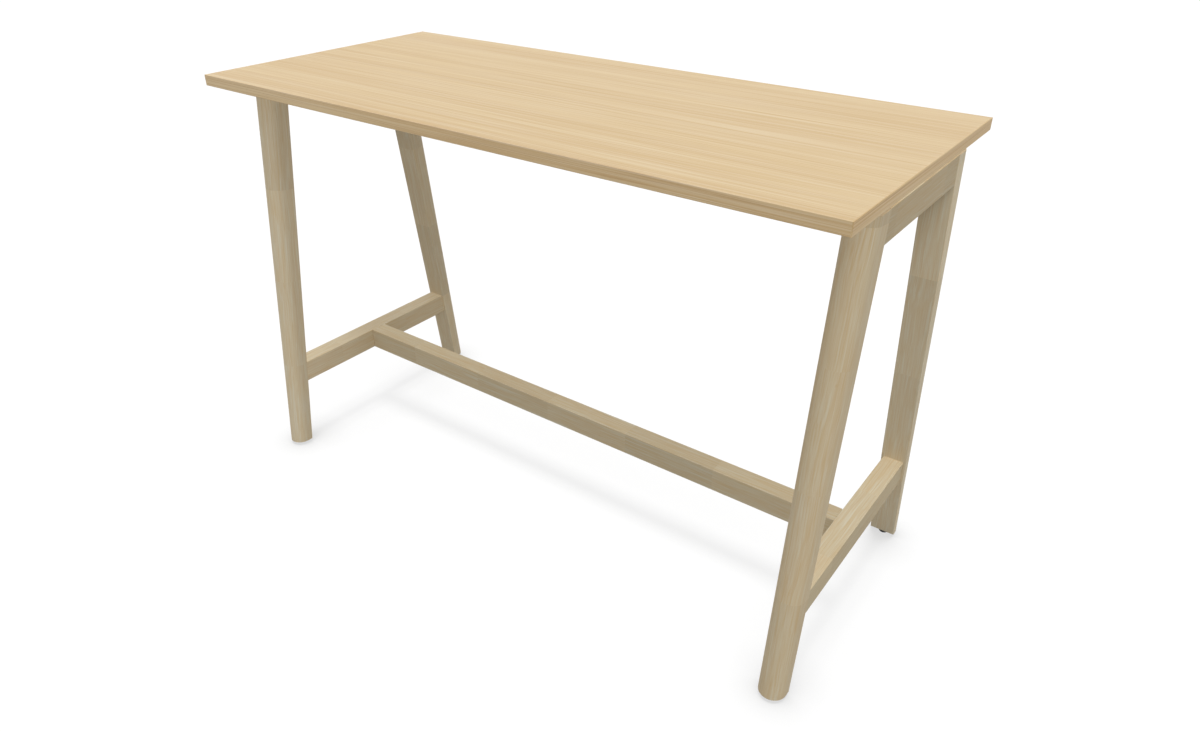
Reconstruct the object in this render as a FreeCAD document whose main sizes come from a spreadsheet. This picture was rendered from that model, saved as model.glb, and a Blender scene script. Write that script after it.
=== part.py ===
# High table: a banded board on two splayed wooden end frames, with a footrest bar between them.
# Lengths are in millimetres and angles in degrees. The origin is on the floor under the middle of
# the top. X runs along the length, Y from the front to the back and Z up.
import FreeCAD, Part
import os
import Sketcher

doc = FreeCAD.newDocument("HighTable")

# Driving dimensions, each set by itself
sizes = {
    # whole table
    "table_length": 1600,
    "table_depth": 700,
    "table_height": 1050,
    # top
    "top_thickness": 25,
    "band_thickness": 2,
    "band_edge_radius": 1,
    "shadow_gap": 8,
    # legs
    "leg_width": 60,
    "leg_top_depth": 64,
    "leg_bottom_depth": 44,
    "leg_splay_angle": 7,
    "leg_top_inset": 175.5,
    "leg_setback": 3.5,
    # rails and footrest
    "top_rail_height": 62,
    "top_rail_setback": 1,
    "footrest_height": 250,
    "footrest_bar_width": 48,
    "footrest_bar_height": 58,
    "stretcher_end_chamfer": 1.5,
    "wood_edge_radius": 1.5,
    # dowels
    "rail_dowel_diameter": 10,
    "rail_dowel_length": 60,
    "rail_dowel_spacing": 32,
    "stretcher_dowel_diameter": 8,
    "stretcher_dowel_length": 40,
    "stretcher_dowel_spacing": 24,
    "stretcher_dowel_drop": 16,
    "dowel_chamfer": 1,
    # cam fixing of the stretcher
    "cam_diameter": 15,
    "cam_height": 19,
    "cam_recess": 0.5,
    "cam_setback": 34,
    "cam_spacing": 24,
    "cam_bolt_rise": 14.5,
    "cam_bolt_diameter": 6,
    "cam_bolt_grip": 20,
    "cam_bolt_head_diameter": 7.5,
    "cam_bolt_head_length": 3,
    # steel beams under the top
    "beam_height": 40,
    "beam_width": 20,
    "beam_wall": 2,
    "beam_corner_radius": 3,
    "beam_from_leg": 44.5,
    "end_plate_width": 60,
    "end_plate_height": 60,
    "end_plate_thickness": 4,
    "end_plate_corner_radius": 5,
    "beam_bolt_diameter": 6,
    "beam_bolt_length": 20,
    "beam_bolt_spacing": 40,
    "beam_bolt_head_diameter": 10.5,
    "beam_bolt_head_height": 3.3,
    "tab_length": 30,
    "tab_width": 25,
    "tab_thickness": 3,
    "tab_corner_radius": 4,
    "tab_spacing": 500,
    "tab_screw_diameter": 5,
    "tab_screw_length": 20,
    "tab_screw_head_diameter": 10,
    "tab_screw_head_height": 3.5,
    # spacers and bolts between top rails and board
    "spacer_diameter": 30,
    "top_bolt_spacing": 120,
    "top_bolt_diameter": 6,
    "top_bolt_length": 60,
    "top_bolt_engagement": 15,
    "top_bolt_head_diameter": 10,
    "top_bolt_head_height": 6,
    # threaded sleeves for the beam bolts and the top bolts
    "insert_diameter": 10,
    "insert_length": 15,
    # levelling feet
    "foot_pad_diameter": 22,
    "foot_pad_height": 9,
    "foot_pad_chamfer": 0.8,
    "foot_pad_sole": 1.2,
    "foot_pad_access_diameter": 7,
    "stud_diameter": 8,
    "stud_length": 38,
    "stud_tip_chamfer": 1,
    "stud_flange_diameter": 14,
    "stud_flange_thickness": 2,
    "stud_socket_width": 4,
    "stud_socket_depth": 4,
    "foot_insert_diameter": 12,
    "foot_insert_length": 25,
    # fits
    "glue_clearance": 0.1,
    "bolt_clearance": 0.3,
    "head_clearance": 1,
    "running_clearance": 0.08,
    "hole_end_clearance": 2,
    "drill_overrun": 20,
}

# Places that follow from the driving dimensions
places = {
    "top_underside": "Sizes.table_height - Sizes.top_thickness",
    "frame_top": "Sizes.table_height - Sizes.top_thickness - Sizes.shadow_gap",
    "leg_centre": "Sizes.table_length / 2 - Sizes.leg_setback - Sizes.leg_width / 2",
    "leg_slope": "tan(Sizes.leg_splay_angle)",
    "leg_top_inner": "Sizes.table_depth / 2 - Sizes.leg_top_inset",
    "leg_bottom_inner": "leg_top_inner + leg_slope * (frame_top - Sizes.foot_pad_height)",
    "foot_offset": "leg_bottom_inner + Sizes.leg_bottom_depth - Sizes.leg_width / 2",
    "head_offset": "leg_top_inner + Sizes.leg_top_depth - Sizes.leg_width / 2",
    "leg_rise": "frame_top - Sizes.foot_pad_height",
    "leg_round_angle": "atan((foot_offset - head_offset) / leg_rise)",
    "leg_round_level": "(frame_top + Sizes.foot_pad_height) / 2",
    "leg_round_offset": "(foot_offset + head_offset) / 2",
    "leg_bar_length": "leg_rise / cos(leg_round_angle)",
    "top_rail_bottom": "frame_top - Sizes.top_rail_height",
    "top_rail_middle": "frame_top - Sizes.top_rail_height / 2",
    "top_rail_width": "Sizes.leg_width - 2 * Sizes.top_rail_setback",
    "top_rail_inner": "leg_centre - top_rail_width / 2",
    "footrest_bottom": "Sizes.footrest_height - Sizes.footrest_bar_height",
    "footrest_middle": "Sizes.footrest_height - Sizes.footrest_bar_height / 2",
    "stretcher_end": "leg_centre - Sizes.footrest_bar_width / 2",
    "stretcher_dowel_level": "Sizes.footrest_height - Sizes.stretcher_dowel_drop",
    "cam_bolt_level": "footrest_bottom + Sizes.cam_bolt_rise",
    "cam_centre": "stretcher_end - Sizes.cam_setback",
    "cam_bolt_bore": "Sizes.cam_bolt_head_diameter + 2 * Sizes.bolt_clearance",
    "beam_end": "top_rail_inner - Sizes.end_plate_thickness",
    "beam_offset": "leg_top_inner - Sizes.beam_from_leg",
    "beam_bolt_reach": "Sizes.beam_bolt_length - Sizes.end_plate_thickness",
    "tab_screw_offset": "beam_offset - Sizes.beam_width / 2 - Sizes.tab_width / 2",
    "top_bolt_seat": "top_underside + Sizes.top_bolt_engagement - Sizes.top_bolt_length",
    "flange_top": "Sizes.foot_pad_sole + Sizes.stud_flange_thickness",
    "stud_top": "Sizes.foot_pad_sole + Sizes.stud_length",
}


def fill_sheet(name, rows, lead=""):
    """Write one row per value, with the value's name as its alias."""
    sheet = doc.addObject("Spreadsheet::Sheet", name)
    for row, (alias, content) in enumerate(rows.items(), start=1):
        sheet.set(f"A{row}", alias)
        sheet.set(f"B{row}", f"{lead}{content}")
        sheet.setAlias(f"B{row}", alias)
    doc.recompute()
    return sheet


size_sheet = fill_sheet("Sizes", sizes)
fill_sheet("Places", places, lead="=")

nodes = []
sides = {"left": "-1", "right": "1"}
ends = {"front": "-1", "rear": "1"}
turned_about = {
    "+z": FreeCAD.Rotation(),
    "+x": FreeCAD.Rotation(FreeCAD.Vector(0, 1, 0), 90),
    "-x": FreeCAD.Rotation(FreeCAD.Vector(0, 1, 0), -90),
    "+y": FreeCAD.Rotation(FreeCAD.Vector(1, 0, 0), -90),
    "half turn": FreeCAD.Rotation(FreeCAD.Vector(0, 0, 1), 180),
}


def value(expression):
    """The number that an expression gives on the sheets."""
    return float(size_sheet.evalExpression(expression))


def place(item, position, way="+z"):
    """Turn an object and bind its position to three expressions."""
    item.Placement = FreeCAD.Placement(FreeCAD.Vector(), turned_about[way])
    for axis, expression in zip("xyz", position):
        item.setExpression(f"Placement.Base.{axis}", expression)


def sketch_on(body, plane, level="0"):
    """A sketch on one of the body's own planes, raised by a level."""
    sketch = body.newObject("Sketcher::SketchObject", f"{body.Label}_sketch")
    support = next(item for item in body.Origin.OriginFeatures if item.Role == plane)
    sketch.AttachmentSupport = [(support, "")]
    sketch.MapMode = "FlatFace"
    sketch.setExpression("AttachmentOffset.Base.z", level)
    return sketch


def tie(sketch, direction, piece, point, expression):
    """Bind the distance of a point from the sketch's origin, in one direction, to an expression."""
    if expression == "0":
        axis = -2 if direction == "DistanceX" else -1
        sketch.addConstraint(Sketcher.Constraint("PointOnObject", piece, point, axis))
        return
    distance = Sketcher.Constraint(direction, -1, 1, piece, point, value(expression))
    number = sketch.addConstraint(distance)
    sketch.setExpression(f"Constraints[{number}]", expression)


def draw_outline(sketch, corners):
    """Join corners, given as pairs of expressions, by straight lines."""
    first = sketch.GeometryCount
    count = len(corners)
    points = [FreeCAD.Vector(value(across), value(up), 0) for across, up in corners]
    for index, start in enumerate(points):
        sketch.addGeometry(Part.LineSegment(start, points[(index + 1) % count]))
    for index, (across, up) in enumerate(corners):
        line = first + index
        before = first + (index - 1) % count
        sketch.addConstraint(Sketcher.Constraint("Coincident", before, 2, line, 1))
        tie(sketch, "DistanceX", line, 1, across)
        tie(sketch, "DistanceY", line, 1, up)


def rectangle(half_width, low, high):
    """Corners of a rectangle that is centred across and runs from low to high."""
    return [
        (f"-({half_width})", low),
        (half_width, low),
        (half_width, high),
        (f"-({half_width})", high),
    ]


def padded(label, plane, outlines, length):
    """A body of constant section, padded evenly to both sides of its sketch."""
    body = doc.addObject("PartDesign::Body", label)
    sketch = sketch_on(body, plane)
    for corners in outlines:
        draw_outline(sketch, corners)
    pad = body.newObject("PartDesign::Pad", f"{label}_pad")
    pad.Profile = sketch
    pad.Midplane = True
    pad.setExpression("Length", length)
    doc.recompute()
    return body


def turned(label, corners):
    """A round body, turned about its own Z axis from corners given as radius and height."""
    body = doc.addObject("PartDesign::Body", label)
    sketch = sketch_on(body, "XZ_Plane")
    draw_outline(sketch, corners)
    turn = body.newObject("PartDesign::Revolution", f"{label}_turn")
    turn.Profile = sketch
    turn.ReferenceAxis = (sketch, ["V_Axis"])
    turn.Angle = 360
    doc.recompute()
    return body


def dress(body, kind, size_name, size, names):
    """Add a fillet or chamfer on the named edges or faces of the body's last feature."""
    base = body.Tip
    feature = body.newObject(f"PartDesign::{kind}", f"{body.Label}_{kind.lower()}")
    feature.Base = (base, names)
    feature.setExpression(size_name, size)
    doc.recompute()
    return feature


along_x = FreeCAD.Vector(1, 0, 0)
along_y = FreeCAD.Vector(0, 1, 0)
along_z = FreeCAD.Vector(0, 0, 1)
parallel_share = 0.99999
touching = 1e-6


def edges_along(body, axis, wanted=lambda edge: True):
    """Names of the last feature's straight edges along an axis."""
    found = []
    for number, edge in enumerate(body.Tip.Shape.Edges, start=1):
        chord = edge.Vertexes[-1].Point - edge.Vertexes[0].Point
        if chord.Length < parallel_share * edge.Length:
            continue
        if abs(chord.normalize().dot(axis)) > parallel_share and wanted(edge):
            found.append(f"Edge{number}")
    return found


def faces_towards(body, axis):
    """Names of the last feature's flat faces whose normal lies along an axis, either way."""
    found = []
    for number, face in enumerate(body.Tip.Shape.Faces, start=1):
        if face.Surface.TypeId != "Part::GeomPlane":
            continue
        if abs(face.normalAt(0, 0).dot(axis)) > parallel_share:
            found.append(f"Face{number}")
    return found


def drill(label, diameter, depth, mouth, way):
    """A drill that goes in from its mouth, and overruns the mouth on the outside."""
    tool = doc.addObject("Part::Cylinder", label)
    tool.setExpression("Radius", f"({diameter}) / 2")
    tool.setExpression("Height", f"({depth}) + Sizes.drill_overrun")
    axis = "xyz".index(way[1])
    start = list(mouth)
    sign = "-" if way[0] == "+" else "+"
    start[axis] = f"({mouth[axis]}) {sign} Sizes.drill_overrun"
    place(tool, start, way)
    return tool


def centred_drill(label, diameter, length, middle, way):
    """A drill whose hole reaches equally far to both sides of a point."""
    tool = doc.addObject("Part::Cylinder", label)
    tool.setExpression("Radius", f"({diameter}) / 2")
    tool.setExpression("Height", length)
    axis = "xyz".index(way[1])
    start = list(middle)
    start[axis] = f"({middle[axis]}) - ({length}) / 2"
    place(tool, start, way)
    return tool


def cut(label, base, tools):
    """What is left of a base once all tools have been taken from it."""
    tool = tools[0]
    if len(tools) > 1:
        tool = doc.addObject("Part::MultiFuse", f"{label}_tools")
        tool.Shapes = tools
    piece = doc.addObject("Part::Cut", label)
    piece.Base = base
    piece.Tool = tool
    return piece


def node(item):
    """Keep an object as a node of the table."""
    nodes.append(item)
    return item


def group(label, members):
    """Keep identical separate pieces as one node."""
    compound = doc.addObject("Part::Compound", label)
    compound.Links = members
    return node(compound)


def inner_face(level):
    """How far the legs' inner faces stand from the middle at a height."""
    return f"(Places.leg_top_inner + Places.leg_slope * (Places.frame_top - ({level})))"


# Rail dowels: two in each joint of a rail with a leg. They lie along the rail, so that both legs
# can be pushed on, and one drill makes the hole in both pieces.
dowel_levels = {
    "top": ["Places.top_rail_middle", "Sizes.rail_dowel_spacing / 2"],
    "lower": ["Places.footrest_middle", "Sizes.rail_dowel_spacing / 2"],
}


def dowel(label, diameter, length, middle, way):
    """A chamfered dowel that reaches equally far to both sides of a point."""
    radius = f"({diameter}) / 2"
    tip = f"({diameter}) / 2 - Sizes.dowel_chamfer"
    half = f"({length}) / 2"
    shoulder = f"({length}) / 2 - Sizes.dowel_chamfer"
    corners = [("0", f"-({half})"), (tip, f"-({half})"), (radius, f"-({shoulder})")]
    corners += [(radius, shoulder), (tip, half), ("0", half)]
    piece = turned(label, corners)
    place(piece, middle, way)
    return piece


rail_dowels = []
rail_holes = {}
for side, side_sign in sides.items():
    for end, end_sign in ends.items():
        for rail, (middle, offset) in dowel_levels.items():
            for step, step_sign in (("upper", "1"), ("under", "-1")):
                level = f"{middle} + {step_sign} * {offset}"
                spot = [f"{side_sign} * Places.leg_centre", f"{end_sign} * {inner_face(level)}", level]
                label = f"{end}_{side}_{rail}_{step}"
                dowel_length = "Sizes.rail_dowel_length"
                piece = dowel(f"{label}_dowel", "Sizes.rail_dowel_diameter", dowel_length, spot, "+y")
                rail_dowels.append(piece)
                hole_width = "Sizes.rail_dowel_diameter + 2 * Sizes.glue_clearance"
                hole_length = "(Sizes.rail_dowel_length + Sizes.hole_end_clearance)"
                hole = centred_drill(f"{label}_hole", hole_width, hole_length, spot, "+y")
                rail_holes.setdefault((end, side), []).append(hole)
                rail_holes.setdefault((rail, side), []).append(hole)
group("rail_dowels", rail_dowels)

# Levelling feet: a sleeve in the leg, a stud that screws in it and a pad that the stud's flange
# turns in. The stud is turned with a hexagon key through the hole in the pad's sole.
foot_inserts = []
foot_holes = {}
sleeve_outer = "Sizes.foot_insert_diameter / 2"
sleeve_inner = "Sizes.stud_diameter / 2 + Sizes.running_clearance"
for side, side_sign in sides.items():
    for end, end_sign in ends.items():
        label = f"{end}_{side}_foot"
        x = f"{side_sign} * Places.leg_centre"
        y = f"{end_sign} * Places.foot_offset"
        leg_bottom = [x, y, "Sizes.foot_pad_height"]

        insert = turned(f"{label}_insert", [
            (sleeve_inner, "0"),
            (sleeve_outer, "0"),
            (sleeve_outer, "Sizes.foot_insert_length"),
            (sleeve_inner, "Sizes.foot_insert_length"),
        ])
        place(insert, leg_bottom)
        foot_inserts.append(insert)

        rod = "Sizes.stud_diameter / 2"
        flange = "Sizes.stud_flange_diameter / 2"
        shoulder = "Sizes.stud_length - Sizes.stud_tip_chamfer"
        blank = turned(f"{label}_stud_blank", [
            ("0", "0"),
            (flange, "0"),
            (flange, "Sizes.stud_flange_thickness"),
            (rod, "Sizes.stud_flange_thickness"),
            (rod, shoulder),
            (f"{rod} - Sizes.stud_tip_chamfer", "Sizes.stud_length"),
            ("0", "Sizes.stud_length"),
        ])
        place(blank, [x, y, "Sizes.foot_pad_sole"])
        key = doc.addObject("Part::Prism", f"{label}_socket")
        key.Polygon = 6
        key.setExpression("Circumradius", "Sizes.stud_socket_width / 2 / cos(30)")
        key.setExpression("Height", "Sizes.stud_socket_depth + Sizes.drill_overrun")
        place(key, [x, y, "Sizes.foot_pad_sole - Sizes.drill_overrun"])
        node(cut(f"{label}_stud", blank, [key]))

        rim = "Sizes.foot_pad_diameter / 2"
        rim_inside = "Sizes.foot_pad_diameter / 2 - Sizes.foot_pad_chamfer"
        seat = "Sizes.stud_flange_diameter / 2 + Sizes.running_clearance"
        access = "Sizes.foot_pad_access_diameter / 2"
        pad = turned(f"{label}_pad", [
            (access, "0"),
            (rim_inside, "0"),
            (rim, "Sizes.foot_pad_chamfer"),
            (rim, "Sizes.foot_pad_height - Sizes.foot_pad_chamfer"),
            (rim_inside, "Sizes.foot_pad_height"),
            (sleeve_inner, "Sizes.foot_pad_height"),
            (sleeve_inner, "Places.flange_top + Sizes.running_clearance"),
            (seat, "Places.flange_top + Sizes.running_clearance"),
            (seat, "Sizes.foot_pad_sole"),
            (access, "Sizes.foot_pad_sole"),
        ])
        place(pad, [x, y, "0"])
        node(pad)

        sleeve_width = "Sizes.foot_insert_diameter + 2 * Sizes.glue_clearance"
        sleeve_hole = drill(f"{label}_sleeve_hole", sleeve_width, "Sizes.foot_insert_length", leg_bottom, "+z")
        stud_width = "Sizes.stud_diameter + 2 * Sizes.head_clearance"
        stud_depth = "Places.stud_top - Sizes.foot_pad_height + Sizes.hole_end_clearance"
        stud_hole = drill(f"{label}_stud_hole", stud_width, stud_depth, leg_bottom, "+z")
        foot_holes[end, side] = [sleeve_hole, stud_hole]
group("foot_inserts", foot_inserts)


# Legs: flat inside and half-round outside. Each is a bar of D section that leans with its round
# side, trimmed to its level ends and to an inner face that leans a little more, at the splay angle.
def draw_leg_section(sketch):
    """The section square to the leg: a half circle as wide as the leg, about the origin, and a bar."""
    half = value("Sizes.leg_width / 2")
    depth = value("Sizes.leg_top_depth")
    corners = [(-half, 0), (-half, -depth), (half, -depth), (half, 0)]
    points = [FreeCAD.Vector(across, up, 0) for across, up in corners]
    for begin, finish in zip(points, points[1:]):
        sketch.addGeometry(Part.LineSegment(begin, finish))
    sketch.addGeometry(Part.Arc(points[3], FreeCAD.Vector(0, half, 0), points[0]))
    arc = 3
    sketch.addConstraint(Sketcher.Constraint("Coincident", 0, 2, 1, 1))
    sketch.addConstraint(Sketcher.Constraint("Coincident", 1, 2, 2, 1))
    sketch.addConstraint(Sketcher.Constraint("Tangent", 2, 2, arc, 1))
    sketch.addConstraint(Sketcher.Constraint("Tangent", arc, 2, 0, 1))
    sketch.addConstraint(Sketcher.Constraint("Vertical", 0))
    sketch.addConstraint(Sketcher.Constraint("Vertical", 2))
    tie(sketch, "DistanceX", 1, 1, "-Sizes.leg_width / 2")
    tie(sketch, "DistanceX", 1, 2, "Sizes.leg_width / 2")
    tie(sketch, "DistanceY", 1, 1, "-Sizes.leg_top_depth")
    tie(sketch, "DistanceY", 1, 2, "-Sizes.leg_top_depth")
    tie(sketch, "DistanceY", arc, 3, "0")


clear_inside = "Places.leg_top_inner - Sizes.leg_top_depth - Sizes.drill_overrun"
clear_outside = "Places.leg_bottom_inner + Sizes.leg_bottom_depth + Sizes.drill_overrun"
side_view = [
    ("Places.leg_bottom_inner", "Sizes.foot_pad_height"),
    (clear_outside, "Sizes.foot_pad_height"),
    (clear_outside, "Places.frame_top"),
    ("Places.leg_top_inner", "Places.frame_top"),
]
far_outside = f"{clear_outside} + Sizes.drill_overrun"
far_below = "Sizes.foot_pad_height - 3 * Sizes.drill_overrun"
far_above = "Places.frame_top + 3 * Sizes.drill_overrun"
surround = [
    (clear_inside, far_below),
    (far_outside, far_below),
    (far_outside, far_above),
    (clear_inside, far_above),
]
for side, side_sign in sides.items():
    for end in ends:
        label = f"{end}_{side}_leg"
        body = doc.addObject("PartDesign::Body", f"{label}_blank")
        section = sketch_on(body, "XY_Plane", "Places.leg_round_level")
        section.AttachmentOffset = FreeCAD.Placement(FreeCAD.Vector(), FreeCAD.Rotation(along_x, 1))
        section.setExpression("AttachmentOffset.Rotation.Angle", "Places.leg_round_angle")
        section.setExpression("AttachmentOffset.Base.y", "Places.leg_round_offset")
        draw_leg_section(section)
        bar = body.newObject("PartDesign::Pad", f"{label}_bar")
        bar.Profile = section
        bar.Midplane = True
        bar.setExpression("Length", "Places.leg_bar_length + 2 * Sizes.drill_overrun")
        trim_sketch = sketch_on(body, "YZ_Plane")
        draw_outline(trim_sketch, surround)
        draw_outline(trim_sketch, side_view)
        trim = body.newObject("PartDesign::Pocket", f"{label}_trim")
        trim.Profile = trim_sketch
        trim.Midplane = True
        trim.setExpression("Length", "Sizes.leg_width + 2 * Sizes.drill_overrun")
        doc.recompute()
        lean = FreeCAD.Vector(0, -value("Places.leg_slope"), 1).normalize()
        dress(body, "Fillet", "Radius", "Sizes.wood_edge_radius", edges_along(body, lean))
        way = "+z" if end == "rear" else "half turn"
        place(body, [f"{side_sign} * Places.leg_centre", "0", "0"], way)
        node(cut(label, body, rail_holes[end, side] + foot_holes[end, side]))

# Top rails: between the legs of an end frame, just under the top, with their ends cut to the splay.
# Bolts come up through them into the board, and the beams are bolted to their inner faces.
top_bolts = []
top_inserts = []
top_spacers = []
board_holes = []
insert_outer = "Sizes.insert_diameter / 2"
insert_hole_width = "Sizes.insert_diameter + 2 * Sizes.glue_clearance"


def threaded_sleeve(label, bolt_diameter):
    """A sleeve for a bolt, with its mouth at the origin."""
    inner = f"({bolt_diameter}) / 2 + Sizes.running_clearance"
    return turned(label, [
        (inner, "0"),
        (insert_outer, "0"),
        (insert_outer, "Sizes.insert_length"),
        (inner, "Sizes.insert_length"),
    ])


def bolt(label, diameter, length, head_diameter, head_height):
    """A bolt or screw whose head sits under the origin."""
    return turned(label, [
        ("0", f"-({head_height})"),
        (f"({head_diameter}) / 2", f"-({head_height})"),
        (f"({head_diameter}) / 2", "0"),
        (f"({diameter}) / 2", "0"),
        (f"({diameter}) / 2", length),
        ("0", length),
    ])


top_bolt_holes = {side: [] for side in sides}
for side, side_sign in sides.items():
    for end, end_sign in ends.items():
        label = f"{end}_{side}_top"
        x = f"{side_sign} * Places.leg_centre"
        y = f"{end_sign} * Sizes.top_bolt_spacing / 2"
        spot = [x, y, "Places.top_underside"]

        spacer_bore = "Sizes.top_bolt_diameter / 2 + Sizes.bolt_clearance"
        spacer = turned(f"{label}_spacer", [
            (spacer_bore, "0"),
            ("Sizes.spacer_diameter / 2", "0"),
            ("Sizes.spacer_diameter / 2", "Sizes.shadow_gap"),
            (spacer_bore, "Sizes.shadow_gap"),
        ])
        place(spacer, [x, y, "Places.frame_top"])
        top_spacers.append(spacer)

        insert = threaded_sleeve(f"{label}_insert", "Sizes.top_bolt_diameter")
        place(insert, spot)
        top_inserts.append(insert)
        insert_depth = "max(Sizes.insert_length; Sizes.top_bolt_engagement) + Sizes.hole_end_clearance"
        board_holes.append(drill(f"{label}_insert_hole", insert_hole_width, insert_depth, spot, "+z"))

        screw = bolt(
            f"{label}_bolt",
            "Sizes.top_bolt_diameter",
            "Sizes.top_bolt_length",
            "Sizes.top_bolt_head_diameter",
            "Sizes.top_bolt_head_height",
        )
        place(screw, [x, y, "Places.top_bolt_seat"])
        top_bolts.append(screw)

        underside = [x, y, "Places.top_rail_bottom"]
        shank_width = "Sizes.top_bolt_diameter + 2 * Sizes.bolt_clearance"
        shank_depth = "Sizes.top_rail_height + Sizes.drill_overrun"
        top_bolt_holes[side].append(drill(f"{label}_shank_hole", shank_width, shank_depth, underside, "+z"))
        head_width = "Sizes.top_bolt_head_diameter + 2 * Sizes.head_clearance"
        head_depth = "Places.top_bolt_seat - Places.top_rail_bottom"
        top_bolt_holes[side].append(drill(f"{label}_head_hole", head_width, head_depth, underside, "+z"))
group("top_spacers", top_spacers)
group("top_inserts", top_inserts)
group("top_bolts", top_bolts)

# Beam fixing: each end plate is held by two bolts in sleeves in the top rail's inner face.
plate_holes = {}
beam_bolts = []
beam_inserts = []
beam_insert_holes = {side: [] for side in sides}
for side, side_sign in sides.items():
    into_rail = "+x" if side == "right" else "-x"
    for end, end_sign in ends.items():
        for step, step_sign in (("inner", "-1"), ("outer", "1")):
            label = f"{end}_{side}_{step}_beam"
            y = f"{end_sign} * (Places.beam_offset + {step_sign} * Sizes.beam_bolt_spacing / 2)"
            rail_face = [f"{side_sign} * Places.top_rail_inner", y, "Places.top_rail_middle"]
            plate_face = [f"{side_sign} * Places.beam_end", y, "Places.top_rail_middle"]

            insert = threaded_sleeve(f"{label}_insert", "Sizes.beam_bolt_diameter")
            place(insert, rail_face, into_rail)
            beam_inserts.append(insert)
            insert_depth = "max(Sizes.insert_length; Places.beam_bolt_reach) + Sizes.hole_end_clearance"
            insert_hole = drill(f"{label}_insert_hole", insert_hole_width, insert_depth, rail_face, into_rail)
            beam_insert_holes[side].append(insert_hole)

            screw = bolt(
                f"{label}_bolt",
                "Sizes.beam_bolt_diameter",
                "Sizes.beam_bolt_length",
                "Sizes.beam_bolt_head_diameter",
                "Sizes.beam_bolt_head_height",
            )
            place(screw, plate_face, into_rail)
            beam_bolts.append(screw)

            hole_width = "Sizes.beam_bolt_diameter + 2 * Sizes.bolt_clearance"
            hole_depth = "Sizes.end_plate_thickness + Sizes.drill_overrun"
            hole = drill(f"{label}_plate_hole", hole_width, hole_depth, plate_face, into_rail)
            plate_holes.setdefault((end, side), []).append(hole)
group("beam_inserts", beam_inserts)
group("beam_bolts", beam_bolts)

for side, side_sign in sides.items():
    label = f"{side}_top_rail"
    outline = [
        (f"-{inner_face('Places.top_rail_bottom')}", "Places.top_rail_bottom"),
        (inner_face("Places.top_rail_bottom"), "Places.top_rail_bottom"),
        (inner_face("Places.frame_top"), "Places.frame_top"),
        (f"-{inner_face('Places.frame_top')}", "Places.frame_top"),
    ]
    body = padded(f"{label}_blank", "YZ_Plane", [outline], "Places.top_rail_width")
    dress(body, "Fillet", "Radius", "Sizes.wood_edge_radius", edges_along(body, along_y))
    place(body, [f"{side_sign} * Places.leg_centre", "0", "0"])
    holes = rail_holes["top", side] + top_bolt_holes[side] + beam_insert_holes[side]
    node(cut(label, body, holes))

# Stretcher fixing: two dowels and two cams at each end. The cam bolts stand in the lower rails,
# and the cams in the stretcher's underside draw them in, so that nothing shows from above.
stretcher_dowels = []
cam_bolts = []
cams = []
stretcher_holes = []
lower_rail_holes = {side: [] for side in sides}
for side, side_sign in sides.items():
    into_rail = "+x" if side == "right" else "-x"
    into_stretcher = "-x" if side == "right" else "+x"
    joint = f"{side_sign} * Places.stretcher_end"
    for end, end_sign in ends.items():
        label = f"{end}_{side}_stretcher"
        spot = [joint, f"{end_sign} * Sizes.stretcher_dowel_spacing / 2", "Places.stretcher_dowel_level"]
        dowel_length = "Sizes.stretcher_dowel_length"
        piece = dowel(f"{label}_dowel", "Sizes.stretcher_dowel_diameter", dowel_length, spot, "+x")
        stretcher_dowels.append(piece)
        hole_width = "Sizes.stretcher_dowel_diameter + 2 * Sizes.glue_clearance"
        hole_length = "(Sizes.stretcher_dowel_length + Sizes.hole_end_clearance)"
        hole = centred_drill(f"{label}_dowel_hole", hole_width, hole_length, spot, "+x")
        stretcher_holes.append(hole)
        lower_rail_holes[side].append(hole)

        y = f"{end_sign} * Sizes.cam_spacing / 2"
        mouth = [joint, y, "Places.cam_bolt_level"]
        half_head = "Sizes.cam_bolt_head_length / 2"
        neck = f"Sizes.cam_setback - {half_head}"
        pin = turned(f"{label}_cam_bolt", [
            ("0", "-Sizes.cam_bolt_grip"),
            ("Sizes.cam_bolt_diameter / 2", "-Sizes.cam_bolt_grip"),
            ("Sizes.cam_bolt_diameter / 2", neck),
            ("Sizes.cam_bolt_head_diameter / 2", neck),
            ("Sizes.cam_bolt_head_diameter / 2", f"Sizes.cam_setback + {half_head}"),
            ("0", f"Sizes.cam_setback + {half_head}"),
        ])
        place(pin, mouth, into_stretcher)
        cam_bolts.append(pin)
        pin_width = "Sizes.cam_bolt_diameter + 2 * Sizes.glue_clearance"
        pin_depth = "Sizes.cam_bolt_grip + Sizes.hole_end_clearance"
        lower_rail_holes[side].append(drill(f"{label}_pin_hole", pin_width, pin_depth, mouth, into_rail))

        bore_depth = "Sizes.cam_setback + Sizes.cam_bolt_head_length"
        bore = drill(f"{label}_cam_bore", "Places.cam_bolt_bore", bore_depth, mouth, into_stretcher)
        pocket_mouth = [f"{side_sign} * Places.cam_centre", y, "Places.footrest_bottom"]
        pocket_width = "Sizes.cam_diameter + 2 * Sizes.glue_clearance"
        pocket_depth = "Sizes.cam_recess + Sizes.cam_height"
        pocket = drill(f"{label}_cam_pocket", pocket_width, pocket_depth, pocket_mouth, "+z")
        stretcher_holes += [bore, pocket]

        drum = doc.addObject("Part::Cylinder", f"{label}_cam_drum")
        drum.setExpression("Radius", "Sizes.cam_diameter / 2")
        drum.setExpression("Height", "Sizes.cam_height")
        place(drum, [pocket_mouth[0], y, "Places.footrest_bottom + Sizes.cam_recess"])
        cams.append(cut(f"{label}_cam", drum, [bore]))
group("stretcher_dowels", stretcher_dowels)
group("stretcher_cam_bolts", cam_bolts)
group("stretcher_cams", cams)

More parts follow.
